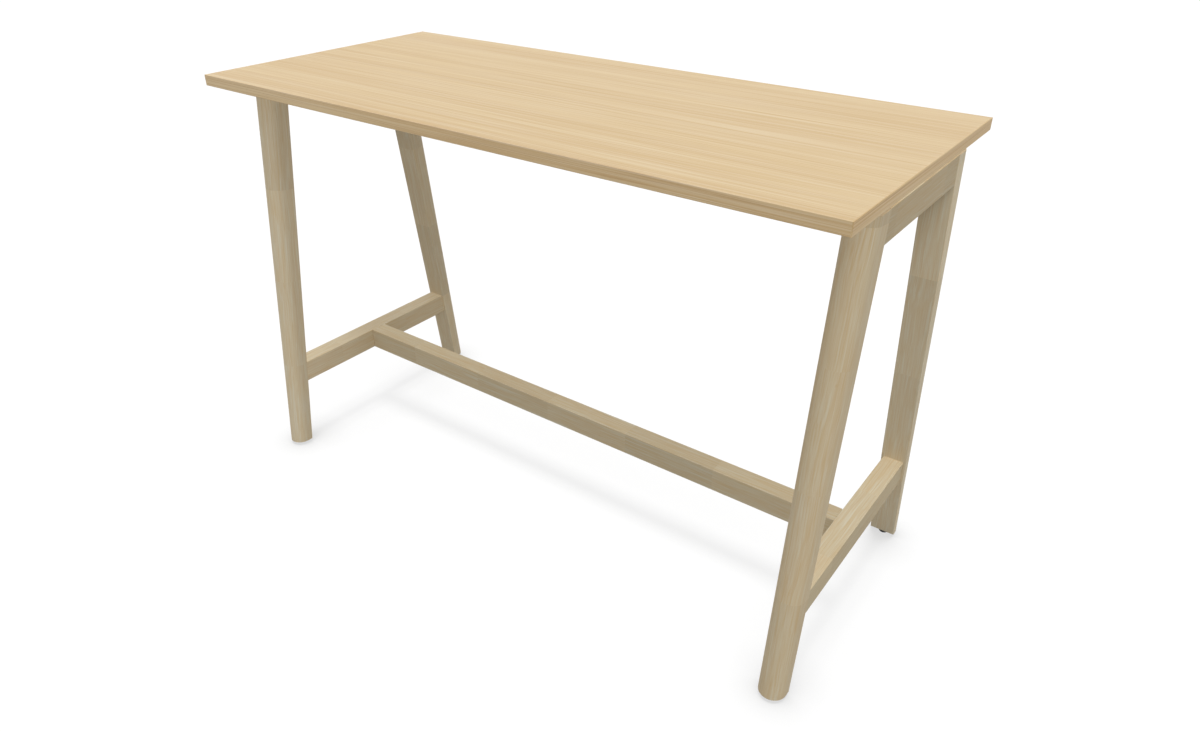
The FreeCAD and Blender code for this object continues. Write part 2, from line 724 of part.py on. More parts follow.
# Lower rails: between the legs of an end frame at footrest height, with their ends cut to the splay.
for side, side_sign in sides.items():
    label = f"{side}_lower_rail"
    outline = [
        (f"-{inner_face('Places.footrest_bottom')}", "Places.footrest_bottom"),
        (inner_face("Places.footrest_bottom"), "Places.footrest_bottom"),
        (inner_face("Sizes.footrest_height"), "Sizes.footrest_height"),
        (f"-{inner_face('Sizes.footrest_height')}", "Sizes.footrest_height"),
    ]
    body = padded(f"{label}_blank", "YZ_Plane", [outline], "Sizes.footrest_bar_width")
    dress(body, "Fillet", "Radius", "Sizes.wood_edge_radius", edges_along(body, along_y))
    place(body, [f"{side_sign} * Places.leg_centre", "0", "0"])
    node(cut(label, body, rail_holes["lower", side] + lower_rail_holes[side]))

# Stretcher: the footrest bar between the lower rails. Its chamfered ends leave a fine shadow line.
bar_section = rectangle("Sizes.footrest_bar_width / 2", "Places.footrest_bottom", "Sizes.footrest_height")
body = padded("footrest_stretcher_blank", "YZ_Plane", [bar_section], "2 * Places.stretcher_end")
dress(body, "Fillet", "Radius", "Sizes.wood_edge_radius", edges_along(body, along_x))
dress(body, "Chamfer", "Size", "Sizes.stretcher_end_chamfer", faces_towards(body, along_x))
node(cut("footrest_stretcher", body, stretcher_holes))

# Beams: steel tubes that stiffen the board, each with an end plate at both ends and tabs with screws.
end_plates = []
beam_tabs = []
tab_screws = []
for end, end_sign in ends.items():
    label = f"{end}_beam"
    y = f"{end_sign} * Places.beam_offset"
    beam_bottom = "Places.top_underside - Sizes.beam_height"
    outer = rectangle("Sizes.beam_width / 2", beam_bottom, "Places.top_underside")
    hollow = rectangle(
        "Sizes.beam_width / 2 - Sizes.beam_wall",
        f"{beam_bottom} + Sizes.beam_wall",
        "Places.top_underside - Sizes.beam_wall",
    )
    beam = padded(label, "YZ_Plane", [outer, hollow], "2 * Places.beam_end")
    outer_half = value("Sizes.beam_width / 2")
    corner_edges = edges_along(beam, along_x, lambda edge: abs(abs(edge.Vertexes[0].Y) - outer_half) < touching)
    dress(beam, "Fillet", "Radius", "Sizes.beam_corner_radius", corner_edges)
    place(beam, ["0", y, "0"])
    node(beam)

    plate_bottom = "Places.top_underside - Sizes.end_plate_height"
    for side, side_sign in sides.items():
        outline = rectangle("Sizes.end_plate_width / 2", plate_bottom, "Places.top_underside")
        plate = padded(f"{end}_{side}_plate_blank", "YZ_Plane", [outline], "Sizes.end_plate_thickness")
        dress(plate, "Fillet", "Radius", "Sizes.end_plate_corner_radius", edges_along(plate, along_x))
        middle = f"{side_sign} * (Places.beam_end + Sizes.end_plate_thickness / 2)"
        place(plate, [middle, y, "0"])
        end_plates.append(cut(f"{end}_{side}_plate", plate, plate_holes[end, side]))

    for step, step_sign in (("left", "-1"), ("middle", "0"), ("right", "1")):
        tab_label = f"{end}_{step}_tab"
        x = f"{step_sign} * Sizes.tab_spacing"
        spot = [x, f"{end_sign} * Places.tab_screw_offset", "Places.top_underside - Sizes.tab_thickness"]
        outline = rectangle("Sizes.tab_length / 2", "-Sizes.tab_width / 2", "Sizes.tab_width / 2")
        tab = padded(f"{tab_label}_blank", "XY_Plane", [outline], "Sizes.tab_thickness")
        beam_side = value("Sizes.tab_width / 2") * float(end_sign)
        free_edges = edges_along(tab, along_z, lambda edge: abs(edge.Vertexes[0].Y - beam_side) > touching)
        dress(tab, "Fillet", "Radius", "Sizes.tab_corner_radius", free_edges)
        place(tab, [spot[0], spot[1], "Places.top_underside - Sizes.tab_thickness / 2"])
        hole_width = "Sizes.tab_screw_diameter + 2 * Sizes.bolt_clearance"
        hole_depth = "Sizes.tab_thickness + Sizes.drill_overrun"
        hole = drill(f"{tab_label}_hole", hole_width, hole_depth, spot, "+z")
        beam_tabs.append(cut(tab_label, tab, [hole]))

        screw = bolt(
            f"{tab_label}_screw",
            "Sizes.tab_screw_diameter",
            "Sizes.tab_screw_length",
            "Sizes.tab_screw_head_diameter",
            "Sizes.tab_screw_head_height",
        )
        place(screw, spot)
        tab_screws.append(screw)
        pilot_width = "Sizes.tab_screw_diameter + 2 * Sizes.glue_clearance"
        pilot_depth = "Sizes.tab_screw_length + Sizes.hole_end_clearance"
        board_holes.append(drill(f"{tab_label}_pilot_hole", pilot_width, pilot_depth, spot, "+z"))
group("beam_end_plates", end_plates)
group("beam_tabs", beam_tabs)
group("beam_tab_screws", tab_screws)

# Top: a board with a band on each edge. The end bands cover the ends of the long ones, and the
# bands' outer edges are rounded.
core_half_depth = "Sizes.table_depth / 2 - Sizes.band_thickness"
core_length = "Sizes.table_length - 2 * Sizes.band_thickness"
core_section = rectangle(core_half_depth, "Places.top_underside", "Sizes.table_height")
core = padded("tabletop_board_blank", "YZ_Plane", [core_section], core_length)
node(cut("tabletop_board", core, board_holes))

band_section = rectangle("Sizes.band_thickness / 2", "Places.top_underside", "Sizes.table_height")
band_middle = "(Sizes.table_depth - Sizes.band_thickness) / 2"
for end, end_sign in ends.items():
    band = padded(f"{end}_edge_band", "YZ_Plane", [band_section], core_length)
    outside = value("Sizes.band_thickness / 2") * float(end_sign)
    outer_edges = edges_along(band, along_x, lambda edge: abs(edge.Vertexes[0].Y - outside) < touching)
    dress(band, "Fillet", "Radius", "Sizes.band_edge_radius", outer_edges)
    place(band, ["0", f"{end_sign} * {band_middle}", "0"])
    node(band)

band_middle = "(Sizes.table_length - Sizes.band_thickness) / 2"
for side, side_sign in sides.items():
    band = padded(f"{side}_edge_band", "XZ_Plane", [band_section], "Sizes.table_depth")
    outside = value("Sizes.band_thickness / 2") * float(side_sign)
    outer_edges = edges_along(band, along_y, lambda edge: abs(edge.Vertexes[0].X - outside) < touching)
    dress(band, "Fillet", "Radius", "Sizes.band_edge_radius", outer_edges)
    place(band, [f"{side_sign} * {band_middle}", "0", "0"])
    node(band)

doc.recompute()
for item in doc.Objects:
    if {"Invalid", "Error"} & set(item.State):
        raise RuntimeError(f"{item.Label} failed: {item.State}")
for item in nodes:
    if item.Shape.isNull() or not item.Shape.isValid() or not item.Shape.Solids:
        raise RuntimeError(f"{item.Label} has no valid solid")

os.makedirs("parts", exist_ok=True)
for item in nodes:
    item.Shape.exportStep(f"parts/{item.Label}.step")
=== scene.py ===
import math

import bpy
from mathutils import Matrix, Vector


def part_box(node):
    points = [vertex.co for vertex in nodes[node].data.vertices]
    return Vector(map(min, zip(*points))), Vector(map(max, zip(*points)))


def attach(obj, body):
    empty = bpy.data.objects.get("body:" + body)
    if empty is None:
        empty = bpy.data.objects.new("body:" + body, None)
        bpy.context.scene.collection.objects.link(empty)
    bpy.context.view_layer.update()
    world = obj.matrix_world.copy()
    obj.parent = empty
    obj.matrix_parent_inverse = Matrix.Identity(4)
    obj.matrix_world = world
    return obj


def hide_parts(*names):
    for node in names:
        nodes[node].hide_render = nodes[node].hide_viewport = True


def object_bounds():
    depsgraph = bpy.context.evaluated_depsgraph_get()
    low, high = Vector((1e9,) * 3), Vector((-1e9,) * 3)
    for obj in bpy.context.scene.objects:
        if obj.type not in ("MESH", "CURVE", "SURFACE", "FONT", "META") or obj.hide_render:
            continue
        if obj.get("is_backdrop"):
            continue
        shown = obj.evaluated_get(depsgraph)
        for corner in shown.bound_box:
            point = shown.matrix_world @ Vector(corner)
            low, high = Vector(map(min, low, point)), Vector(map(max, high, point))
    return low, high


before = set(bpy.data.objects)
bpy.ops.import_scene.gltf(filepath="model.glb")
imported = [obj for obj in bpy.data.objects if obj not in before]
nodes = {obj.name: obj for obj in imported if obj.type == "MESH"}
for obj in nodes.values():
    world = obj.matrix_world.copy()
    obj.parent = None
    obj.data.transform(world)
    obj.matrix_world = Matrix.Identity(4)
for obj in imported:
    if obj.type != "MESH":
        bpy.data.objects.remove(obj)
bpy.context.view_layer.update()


# Legs
# Four splayed legs of solid ash, flat inside and half-round outside. Each is glued up from short
# staves set end to end, planed to shape, then sanded and given a matt lacquer.
ash_pale = (0.643, 0.548, 0.371, 1)
ash_deep = (0.600, 0.474, 0.301, 1)
ash_streak = (0.668, 0.614, 0.475, 1)
ash_line = (0.592, 0.444, 0.248, 1)
stave_length = 0.25
leg_lean = math.radians(6.4)
leg_stave_shift = 0.032
leg_stave_spread = 0.07
stave_scatter = (7.0, 7.0, 7.0)
ash_band_per_metre = 62.0
ash_thread_per_metre = 230.0
ash_fibre_per_metre = 460.0
ash_pore_per_metre = 1700.0
ash_knot_per_metre = 17.0
ash_sway_per_metre = (9.0, 9.0, 5.0)
ash_sway_reach = 0.012
ash_relief = 0.12
ash_relief_depth = 0.0004
ash_sheen = 0.10


def add_node(tree, kind, wires=(), **options):
    """Place a node, set its options, and set or link its inputs, given as socket and value."""
    made = tree.nodes.new(kind)
    for option, chosen in options.items():
        setattr(made, option, chosen)
    for socket, given in wires:
        if isinstance(given, bpy.types.NodeSocket):
            tree.links.new(given, made.inputs[socket])
        else:
            made.inputs[socket].default_value = given
    return made


def figure(tree, operation, first, second=0.0):
    """One step of arithmetic on values."""
    wires = [(0, first), (1, second)]
    return add_node(tree, "ShaderNodeMath", wires, operation=operation).outputs[0]


def stretch(tree, place, factors):
    """A place with each of its axes scaled."""
    wires = [(0, place), (1, factors)]
    return add_node(tree, "ShaderNodeVectorMath", wires, operation="MULTIPLY").outputs[0]


def shift(tree, place, offset):
    """A place moved by an offset."""
    wires = [(0, place), (1, offset)]
    return add_node(tree, "ShaderNodeVectorMath", wires, operation="ADD").outputs[0]


def mottle(tree, place, scale, detail=2.0, roughness=0.5):
    """Soft noise from 0 to 1."""
    wires = [("Vector", place), ("Scale", scale), ("Detail", detail), ("Roughness", roughness)]
    return add_node(tree, "ShaderNodeTexNoise", wires).outputs[0]


def ramp(tree, given, low, high, start=0.0, end=1.0):
    """A value eased from start to end as the given one goes from low to high."""
    wires = [("Value", given), ("From Min", low), ("From Max", high), ("To Min", start), ("To Max", end)]
    return add_node(tree, "ShaderNodeMapRange", wires, interpolation_type="SMOOTHSTEP").outputs[0]


def blend(tree, share, first, second, way="MIX"):
    """Two colours mixed by a share."""
    wires = [(0, share), (6, first), (7, second)]
    return add_node(tree, "ShaderNodeMix", wires, data_type="RGBA", blend_type=way).outputs[2]


def grey(tree, given):
    """A value as a grey colour."""
    wires = [(0, given), (1, given), (2, given)]
    return add_node(tree, "ShaderNodeCombineColor", wires).outputs[0]


def effect_group(name, inputs, outputs):
    """An empty shader group with named sockets."""
    group = bpy.data.node_groups.new(name, "ShaderNodeTree")
    for label, kind in inputs:
        group.interface.new_socket(label, in_out="INPUT", socket_type=kind)
    for label, kind in outputs:
        group.interface.new_socket(label, in_out="OUTPUT", socket_type=kind)
    return group, group.nodes.new("NodeGroupInput").outputs


surface_outputs = [
    ("Colour", "NodeSocketColor"),
    ("Roughness", "NodeSocketFloat"),
    ("Height", "NodeSocketFloat"),
]


def close_group(group, colour, roughness, height):
    """Link what a surface group has worked out to its outputs."""
    add_node(group, "NodeGroupOutput", [("Colour", colour), ("Roughness", roughness), ("Height", height)])


def drawn_out(tree, place, per_metre, along_share, detail=2.0, roughness=0.5):
    """Noise with so many bumps per metre, drawn out along the third axis."""
    drawn = stretch(tree, place, (1.0, 1.0, along_share))
    return mottle(tree, drawn, per_metre, detail, roughness)


def timber_grain():
    """Staves of timber set end to end along the third axis, each with a grain and tone of its own."""
    group, given = effect_group("Timber grain", [
        ("Place", "NodeSocketVector"),
        ("Stave length", "NodeSocketFloat"),
        ("Stave shift", "NodeSocketFloat"),
        ("Stave spread", "NodeSocketFloat"),
        ("Seed", "NodeSocketFloat"),
        ("Tone", "NodeSocketColor"),
        ("Pale", "NodeSocketColor"),
        ("Deep", "NodeSocketColor"),
        ("Streak", "NodeSocketColor"),
        ("Line", "NodeSocketColor"),
    ], surface_outputs)
    place = given["Place"]
    height = add_node(group, "ShaderNodeSeparateXYZ", [(0, place)]).outputs[2]
    shifted = figure(group, "ADD", height, given["Stave shift"])
    along = figure(group, "DIVIDE", shifted, given["Stave length"])
    stave = add_node(group, "ShaderNodeCombineXYZ", [
        (0, figure(group, "FLOOR", along)),
        (1, given["Seed"]),
    ]).outputs[0]
    chance = add_node(group, "ShaderNodeTexWhiteNoise", [("Vector", stave)], noise_dimensions="3D")
    far_apart = stretch(group, chance.outputs["Color"], stave_scatter)
    own_place = shift(group, place, far_apart)

    sway = add_node(group, "ShaderNodeTexNoise", [
        ("Vector", stretch(group, own_place, ash_sway_per_metre)),
        ("Scale", 1.0),
        ("Detail", 2.0),
    ]).outputs["Color"]
    drift = stretch(group, sway, (ash_sway_reach, ash_sway_reach, 0.0))
    own_place = shift(group, own_place, drift)
    band = drawn_out(group, own_place, ash_band_per_metre, along_share=0.045)
    thread = drawn_out(group, own_place, ash_thread_per_metre, along_share=0.022, roughness=0.6)
    fibre = drawn_out(group, own_place, ash_fibre_per_metre, along_share=0.018, roughness=0.65)
    pore = drawn_out(group, own_place, ash_pore_per_metre, along_share=0.045, detail=1.0)
    knots = add_node(group, "ShaderNodeTexVoronoi", [
        ("Vector", stretch(group, own_place, (1.0, 1.0, 0.7))),
        ("Scale", ash_knot_per_metre),
    ])
    knot_chance = add_node(group, "ShaderNodeSeparateColor", [(0, knots.outputs["Color"])]).outputs[0]
    knot_here = ramp(group, knot_chance, 0.80, 0.82)
    knot_near = ramp(group, knots.outputs["Distance"], 0.015, 0.07, start=1.0, end=0.0)
    knot = figure(group, "MULTIPLY", knot_near, knot_here)

    colour = blend(group, ramp(group, band, 0.25, 0.75, start=0.33, end=0.82), given["Deep"], given["Pale"])
    colour = blend(group, ramp(group, thread, 0.52, 0.72, end=0.80), colour, given["Streak"])
    colour = blend(group, ramp(group, thread, 0.28, 0.48, start=0.75, end=0.0), colour, given["Deep"])
    colour = blend(group, ramp(group, fibre, 0.48, 0.72, end=0.62), colour, given["Streak"])
    colour = blend(group, ramp(group, fibre, 0.28, 0.52, start=0.68, end=0.0), colour, given["Line"])
    colour = blend(group, ramp(group, pore, 0.60, 0.78, end=0.35), colour, given["Line"])
    colour = blend(group, figure(group, "MULTIPLY", knot, 0.60), colour, given["Line"])
    paler = ramp(group, chance.outputs["Value"], 0.0, 1.0, start=-1.0, end=1.0)
    stave_tone = figure(group, "ADD", figure(group, "MULTIPLY", paler, given["Stave spread"]), 1.0)
    colour = blend(group, 1.0, colour, grey(group, stave_tone), "MULTIPLY")
    colour = blend(group, 1.0, colour, given["Tone"], "MULTIPLY")
    roughness = ramp(group, fibre, 0.2, 0.8, start=0.50, end=0.62)
    pore_depth = figure(group, "MULTIPLY", ramp(group, pore, 0.60, 0.78), 0.5)
    relief = figure(group, "SUBTRACT", fibre, pore_depth)
    close_group(group, colour, roughness, relief)
    return group


timber = timber_grain()


def new_finish(name):
    """A material with its shader, and the object's own coordinates."""
    material = bpy.data.materials.new(name)
    material.use_nodes = True
    tree = material.node_tree
    shader = tree.nodes["Principled BSDF"]
    place = tree.nodes.new("ShaderNodeTexCoord").outputs["Object"]
    return material, tree, shader, place


def surface(tree, shader, effect, strength, distance):
    """Link a surface group's colour, roughness and relief to the shader."""
    tree.links.new(effect.outputs["Colour"], shader.inputs["Base Color"])
    tree.links.new(effect.outputs["Roughness"], shader.inputs["Roughness"])
    bump = add_node(tree, "ShaderNodeBump", [
        ("Strength", strength),
        ("Distance", distance),
        ("Height", effect.outputs["Height"]),
    ])
    tree.links.new(bump.outputs[0], shader.inputs["Normal"])


def ash_finish(name, turn, stave_shift, stave_spread, seed, tone=(1, 1, 1, 1)):
    """Lacquered ash whose grain runs along the third axis once the place has been turned."""
    material, tree, shader, place = new_finish(name)
    turned = add_node(tree, "ShaderNodeMapping", [("Vector", place), ("Rotation", turn)]).outputs[0]
    effect = add_node(tree, "ShaderNodeGroup", node_tree=timber)
    tree.links.new(turned, effect.inputs["Place"])
    effect.inputs["Stave length"].default_value = stave_length
    effect.inputs["Stave shift"].default_value = stave_shift
    effect.inputs["Stave spread"].default_value = stave_spread
    effect.inputs["Seed"].default_value = seed
    effect.inputs["Tone"].default_value = tone
    effect.inputs["Pale"].default_value = ash_pale
    effect.inputs["Deep"].default_value = ash_deep
    effect.inputs["Streak"].default_value = ash_streak
    effect.inputs["Line"].default_value = ash_line
    surface(tree, shader, effect, ash_relief, ash_relief_depth)
    shader.inputs["Specular IOR Level"].default_value = ash_sheen
    return material


def grain_of(material):
    """The surface group that a finish has."""
    return next(item for item in material.node_tree.nodes if item.type == "GROUP")


def cover(node_name, material):
    """Give a piece of the frame one material."""
    mesh = nodes[node_name].data
    mesh.materials.clear()
    mesh.materials.append(material)


# Each leg has a seed that picks its staves, and a tint that is partly the leg's own tone and partly
# painted light and shade, lighter or darker by how each leg is lit.
leg_seeds_and_painted_light = {
    "front_left": (120, (0.998, 1.004, 1.025, 1)),
    "rear_left": (723, (0.943, 0.945, 0.957, 1)),
    "front_right": (422, (0.960, 0.939, 0.915, 1)),
    "rear_right": (159, (1.072, 1.096, 1.140, 1)),
}
for corner, (seed, tone) in leg_seeds_and_painted_light.items():
    lean = leg_lean if corner.startswith("front") else -leg_lean
    finish = ash_finish(f"Ash {corner} leg", (lean, 0, 0), leg_stave_shift, leg_stave_spread, seed, tone)
    cover(f"{corner}_leg", finish)


# Levelling feet
# A zinc-plated sleeve is pressed into each leg. A threaded stud screws in it, and its flange turns
# in a moulded black pad that the table stands on. A hexagon key reaches the stud from below.
zinc_bright = (0.62, 0.61, 0.58, 1)
zinc_dull = (0.46, 0.46, 0.45, 1)
plastic_black = (0.012, 0.012, 0.013, 1)
plastic_grey = (0.020, 0.020, 0.021, 1)
pad_radius = 0.011
pad_height = 0.009
pad_sole = 0.0012
pad_access = 0.0035
pad_flute_count = 40
pad_flute_depth = 0.00035
pad_ease = 0.0008
pad_rim_ease = 0.0003
pad_clearance = 0.00008
pad_collar = 0.00408
pad_groove_radii = (0.0052, 0.0080)
pad_groove_width = 0.0014
pad_groove_depth = 0.0003
stud_top = 0.0392
stud_core = 0.00335
stud_ease = 0.0006
stud_flange = 0.007
stud_flange_top = 0.0032
flange_ease = 0.0004
stud_key = 0.002
stud_key_depth = 0.004
stud_key_cone = 0.0006
stud_key_mouth = 0.0002
turned_segments = 36
thread_pitch = 0.00125
thread_depth = 0.00065
thread_steps = 28
thread_sides = 4


def fine_grain():
    """An even, fine-grained surface of two near colours, such as moulded plastic or plated steel."""
    group, given = effect_group("Fine grain", [
        ("Place", "NodeSocketVector"),
        ("Grain", "NodeSocketFloat"),
        ("Cloud", "NodeSocketFloat"),
        ("First", "NodeSocketColor"),
        ("Second", "NodeSocketColor"),
        ("Smooth", "NodeSocketFloat"),
        ("Rough", "NodeSocketFloat"),
    ], surface_outputs)
    speck = mottle(group, given["Place"], given["Grain"], roughness=0.55)
    cloud = mottle(group, given["Place"], given["Cloud"], detail=3.0, roughness=0.6)
    colour = blend(group, ramp(group, cloud, 0.30, 0.70), given["First"], given["Second"])
    mean = figure(group, "MULTIPLY", figure(group, "ADD", speck, cloud), 0.5)
    share = ramp(group, mean, 0.3, 0.7)
    span = figure(group, "SUBTRACT", given["Rough"], given["Smooth"])
    roughness = figure(group, "ADD", given["Smooth"], figure(group, "MULTIPLY", share, span))
    close_group(group, colour, roughness, speck)
    return group


even_grain = fine_grain()


def grained_finish(name, colours, grain, cloud, smooth, rough, relief, depth, metallic=0.0):
    """Plastic, paint or plating with a fine grain."""
    material, tree, shader, place = new_finish(name)
    effect = add_node(tree, "ShaderNodeGroup", node_tree=even_grain)
    tree.links.new(place, effect.inputs["Place"])
    settings = {
        "Grain": grain,
        "Cloud": cloud,
        "First": colours[0],
        "Second": colours[1],
        "Smooth": smooth,
        "Rough": rough,
    }
    for label, given in settings.items():
        effect.inputs[label].default_value = given
    surface(tree, shader, effect, relief, depth)
    shader.inputs["Metallic"].default_value = metallic
    return material


zinc = grained_finish(
    "Zinc plate",
    (zinc_dull, zinc_bright),
    grain=2600.0,
    cloud=160.0,
    smooth=0.26,
    rough=0.42,
    relief=0.10,
    depth=0.0002,
    metallic=1.0,
)
plastic = grained_finish(
    "Moulded plastic",
    (plastic_black, plastic_grey),
    grain=3200.0,
    cloud=90.0,
    smooth=0.48,
    rough=0.64,
    relief=0.25,
    depth=0.0002,
)


def round_shape(angle):
    """A circle."""
    return 1.0


def hexagon_shape(angle):
    """A hexagon, by the distance to its flats."""
    sixth = math.pi / 3
    return 1.0 / math.cos((angle + sixth / 2) % sixth - sixth / 2)


def star_shape(angle):
    """A six-lobed recess."""
    lobe_share = 0.16
    return 1.0 + lobe_share * math.cos(6 * angle)


def cross_shape(angle):
    """A cross-shaped recess, with arms about a third as wide as they are long."""
    arm_share = 0.30
    folded = abs((angle + math.pi / 4) % (math.pi / 2) - math.pi / 4)
    if math.tan(folded) <= arm_share:
        return 1.0 / math.cos(folded)
    return arm_share / math.sin(folded)


def fluted_shape(angle):
    """A rim with shallow flutes."""
    share = pad_flute_depth / pad_radius
    return 1.0 - share * (0.5 + 0.5 * math.cos(pad_flute_count * angle))


def turned_piece(name, rings, segments, spot=(0, 0, 0), closed=False):
    """A turned piece from rings of radius, height and shape. Its ends are closed by single points,
    or, where the rings run round a hole, the last ring joins the first."""
    points = []
    starts = []
    for radius, height, shape in rings:
        starts.append(len(points))
        if radius == 0:
            points.append((spot[0], spot[1], spot[2] + height))
            continue
        for step in range(segments):
            angle = 2 * math.pi * step / segments
            reach = radius * shape(angle)
            points.append((
                spot[0] + reach * math.cos(angle),
                spot[1] + reach * math.sin(angle),
                spot[2] + height,
            ))
    faces = []
    pairs = list(range(len(rings) - 1))
    if closed:
        pairs.append(len(rings) - 1)
    for lower in pairs:
        upper = (lower + 1) % len(rings)
        for step in range(segments):
            after = (step + 1) % segments
            if rings[lower][0] == 0:
                faces.append((starts[lower], starts[upper] + after, starts[upper] + step))
            elif rings[upper][0] == 0:
                faces.append((starts[lower] + step, starts[lower] + after, starts[upper]))
            else:
                faces.append((
                    starts[lower] + step,
                    starts[lower] + after,
                    starts[upper] + after,
                    starts[upper] + step,
                ))
    mesh = bpy.data.meshes.new(name)
    mesh.from_pydata(points, [], faces)
    mesh.validate()
    piece = bpy.data.objects.new(name, mesh)
    bpy.context.scene.collection.objects.link(piece)
    return piece


def soften(piece, sharp_degrees=35.0):
    """Shade a piece smooth, but for its sharp edges."""
    mesh = piece.data
    mesh.polygons.foreach_set("use_smooth", [True] * len(mesh.polygons))
    mesh.set_sharp_from_angle(angle=math.radians(sharp_degrees))


def made_solid(piece, tree, settings):
    """Run a node tree on a piece with named settings, and keep the result as a plain mesh."""
    modifier = piece.modifiers.new("Nodes", "NODES")
    modifier.node_group = tree
    for item in tree.interface.items_tree:
        if item.in_out == "INPUT" and item.name in settings:
            modifier[item.identifier] = settings[item.name]
    graph = bpy.context.evaluated_depsgraph_get()
    result = bpy.data.meshes.new_from_object(piece.evaluated_get(graph))
    piece.modifiers.remove(modifier)
    piece.data = result
    return piece


def nodes_tree(name, inputs):
    """An empty geometry tree with named inputs."""
    tree = bpy.data.node_groups.new(name, "GeometryNodeTree")
    tree.interface.new_socket("Geometry", in_out="INPUT", socket_type="NodeSocketGeometry")
    for label, kind in inputs:
        tree.interface.new_socket(label, in_out="INPUT", socket_type=kind)
    tree.interface.new_socket("Geometry", in_out="OUTPUT", socket_type="NodeSocketGeometry")
    return tree, tree.nodes.new("NodeGroupInput").outputs


def close_tree(tree, geometry, finish):
    """End a tree with real geometry in one material."""
    solid = add_node(tree, "GeometryNodeRealizeInstances", [(0, geometry)]).outputs[0]
    wires = [("Geometry", solid), ("Material", finish)]
    covered = add_node(tree, "GeometryNodeSetMaterial", wires).outputs[0]
    add_node(tree, "NodeGroupOutput", [(0, covered)])


def thread_tree():
    """Wind a thread of diamond section round a turned core."""
    tree, given = nodes_tree("Screw thread", [
        ("Core radius", "NodeSocketFloat"),
        ("Depth", "NodeSocketFloat"),
        ("Turns", "NodeSocketFloat"),
        ("Length", "NodeSocketFloat"),
        ("Start", "NodeSocketVector"),
        ("Finish", "NodeSocketMaterial"),
    ])
    winding = add_node(tree, "GeometryNodeCurveSpiral", [
        ("Resolution", thread_steps),
        ("Rotations", given["Turns"]),
        ("Start Radius", given["Core radius"]),
        ("End Radius", given["Core radius"]),
        ("Height", given["Length"]),
    ]).outputs[0]
    section = add_node(tree, "GeometryNodeCurvePrimitiveCircle", [
        ("Resolution", thread_sides),
        ("Radius", given["Depth"]),
    ], mode="RADIUS").outputs[0]
    ridge = add_node(tree, "GeometryNodeCurveToMesh", [
        ("Curve", winding),
        ("Profile Curve", section),
        ("Fill Caps", True),
    ]).outputs[0]
    placed = add_node(tree, "GeometryNodeTransform", [
        ("Geometry", ridge),
        ("Translation", given["Start"]),
    ]).outputs[0]
    joined = tree.nodes.new("GeometryNodeJoinGeometry")
    tree.links.new(placed, joined.inputs[0])
    tree.links.new(given["Geometry"], joined.inputs[0])
    close_tree(tree, joined.outputs[0], given["Finish"])
    return tree


thread = thread_tree()
key_floor = pad_sole + stud_key_depth
stud_rings = [
    (0, key_floor + stud_key_cone, round_shape),
    (stud_key, key_floor, hexagon_shape),
    (stud_key, pad_sole + stud_key_mouth, hexagon_shape),
    (stud_key + flange_ease, pad_sole, hexagon_shape),
    (stud_flange - flange_ease, pad_sole, round_shape),
    (stud_flange, pad_sole + flange_ease, round_shape),
    (stud_flange, stud_flange_top, round_shape),
    (stud_core, stud_flange_top, round_shape),
    (stud_core, stud_top - stud_ease, round_shape),
    (stud_core - stud_ease, stud_top, round_shape),
    (0, stud_top, round_shape),
]
pad_seat = stud_flange + pad_clearance
pad_seat_top = stud_flange_top + pad_clearance
pad_rings = [(pad_access, 0, round_shape)]
for inner in pad_groove_radii:
    outer = inner + pad_groove_width
    pad_rings += [
        (inner, 0, round_shape),
        (inner + pad_groove_depth, pad_groove_depth, round_shape),
        (outer - pad_groove_depth, pad_groove_depth, round_shape),
        (outer, 0, round_shape),
    ]
pad_rings += [
    (pad_radius - pad_ease, 0, round_shape),
    (pad_radius, pad_ease, fluted_shape),
    (pad_radius, pad_height - pad_ease, fluted_shape),
    (pad_radius - pad_rim_ease, pad_height - pad_rim_ease, round_shape),
    (pad_radius - pad_ease, pad_height, round_shape),
    (pad_collar, pad_height, round_shape),
    (pad_collar, pad_seat_top, round_shape),
    (pad_seat, pad_seat_top, round_shape),
    (pad_seat, pad_sole, round_shape),
    (pad_access, pad_sole, round_shape),
]
thread_start = stud_flange_top + thread_pitch
thread_length = stud_top - thread_pitch - thread_start
for corner in leg_seeds_and_painted_light:
    low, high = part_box(f"{corner}_foot_pad")
    spot = ((low.x + high.x) / 2, (low.y + high.y) / 2, 0)

    stud = turned_piece(f"{corner}_threaded_stud", stud_rings, turned_segments, spot)
    made_solid(stud, thread, {
        "Core radius": stud_core,
        "Depth": thread_depth,
        "Turns": thread_length / thread_pitch,
        "Length": thread_length,
        "Start": (spot[0], spot[1], thread_start),
        "Finish": zinc,
    })
    soften(stud)
    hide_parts(f"{corner}_foot_stud")
    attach(stud, f"{corner}_foot_stud")

    pad_segments = 4 * pad_flute_count
    pad = turned_piece(f"{corner}_moulded_pad", pad_rings, pad_segments, spot, closed=True)
    pad.data.materials.append(plastic)
    soften(pad)
    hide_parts(f"{corner}_foot_pad")
    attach(pad, f"{corner}_foot_pad")
cover("foot_inserts", zinc)


# Rails of the end frames
# Each pair of legs is joined by a deep rail under the top and a square one at footrest height.
# Both are ash like the legs, cut to the splay at their ends and glued on beech dowels.
rail_turn = (math.radians(90), 0, 0)
rail_stave_shift = 0.14
rail_stave_spread = 0.025
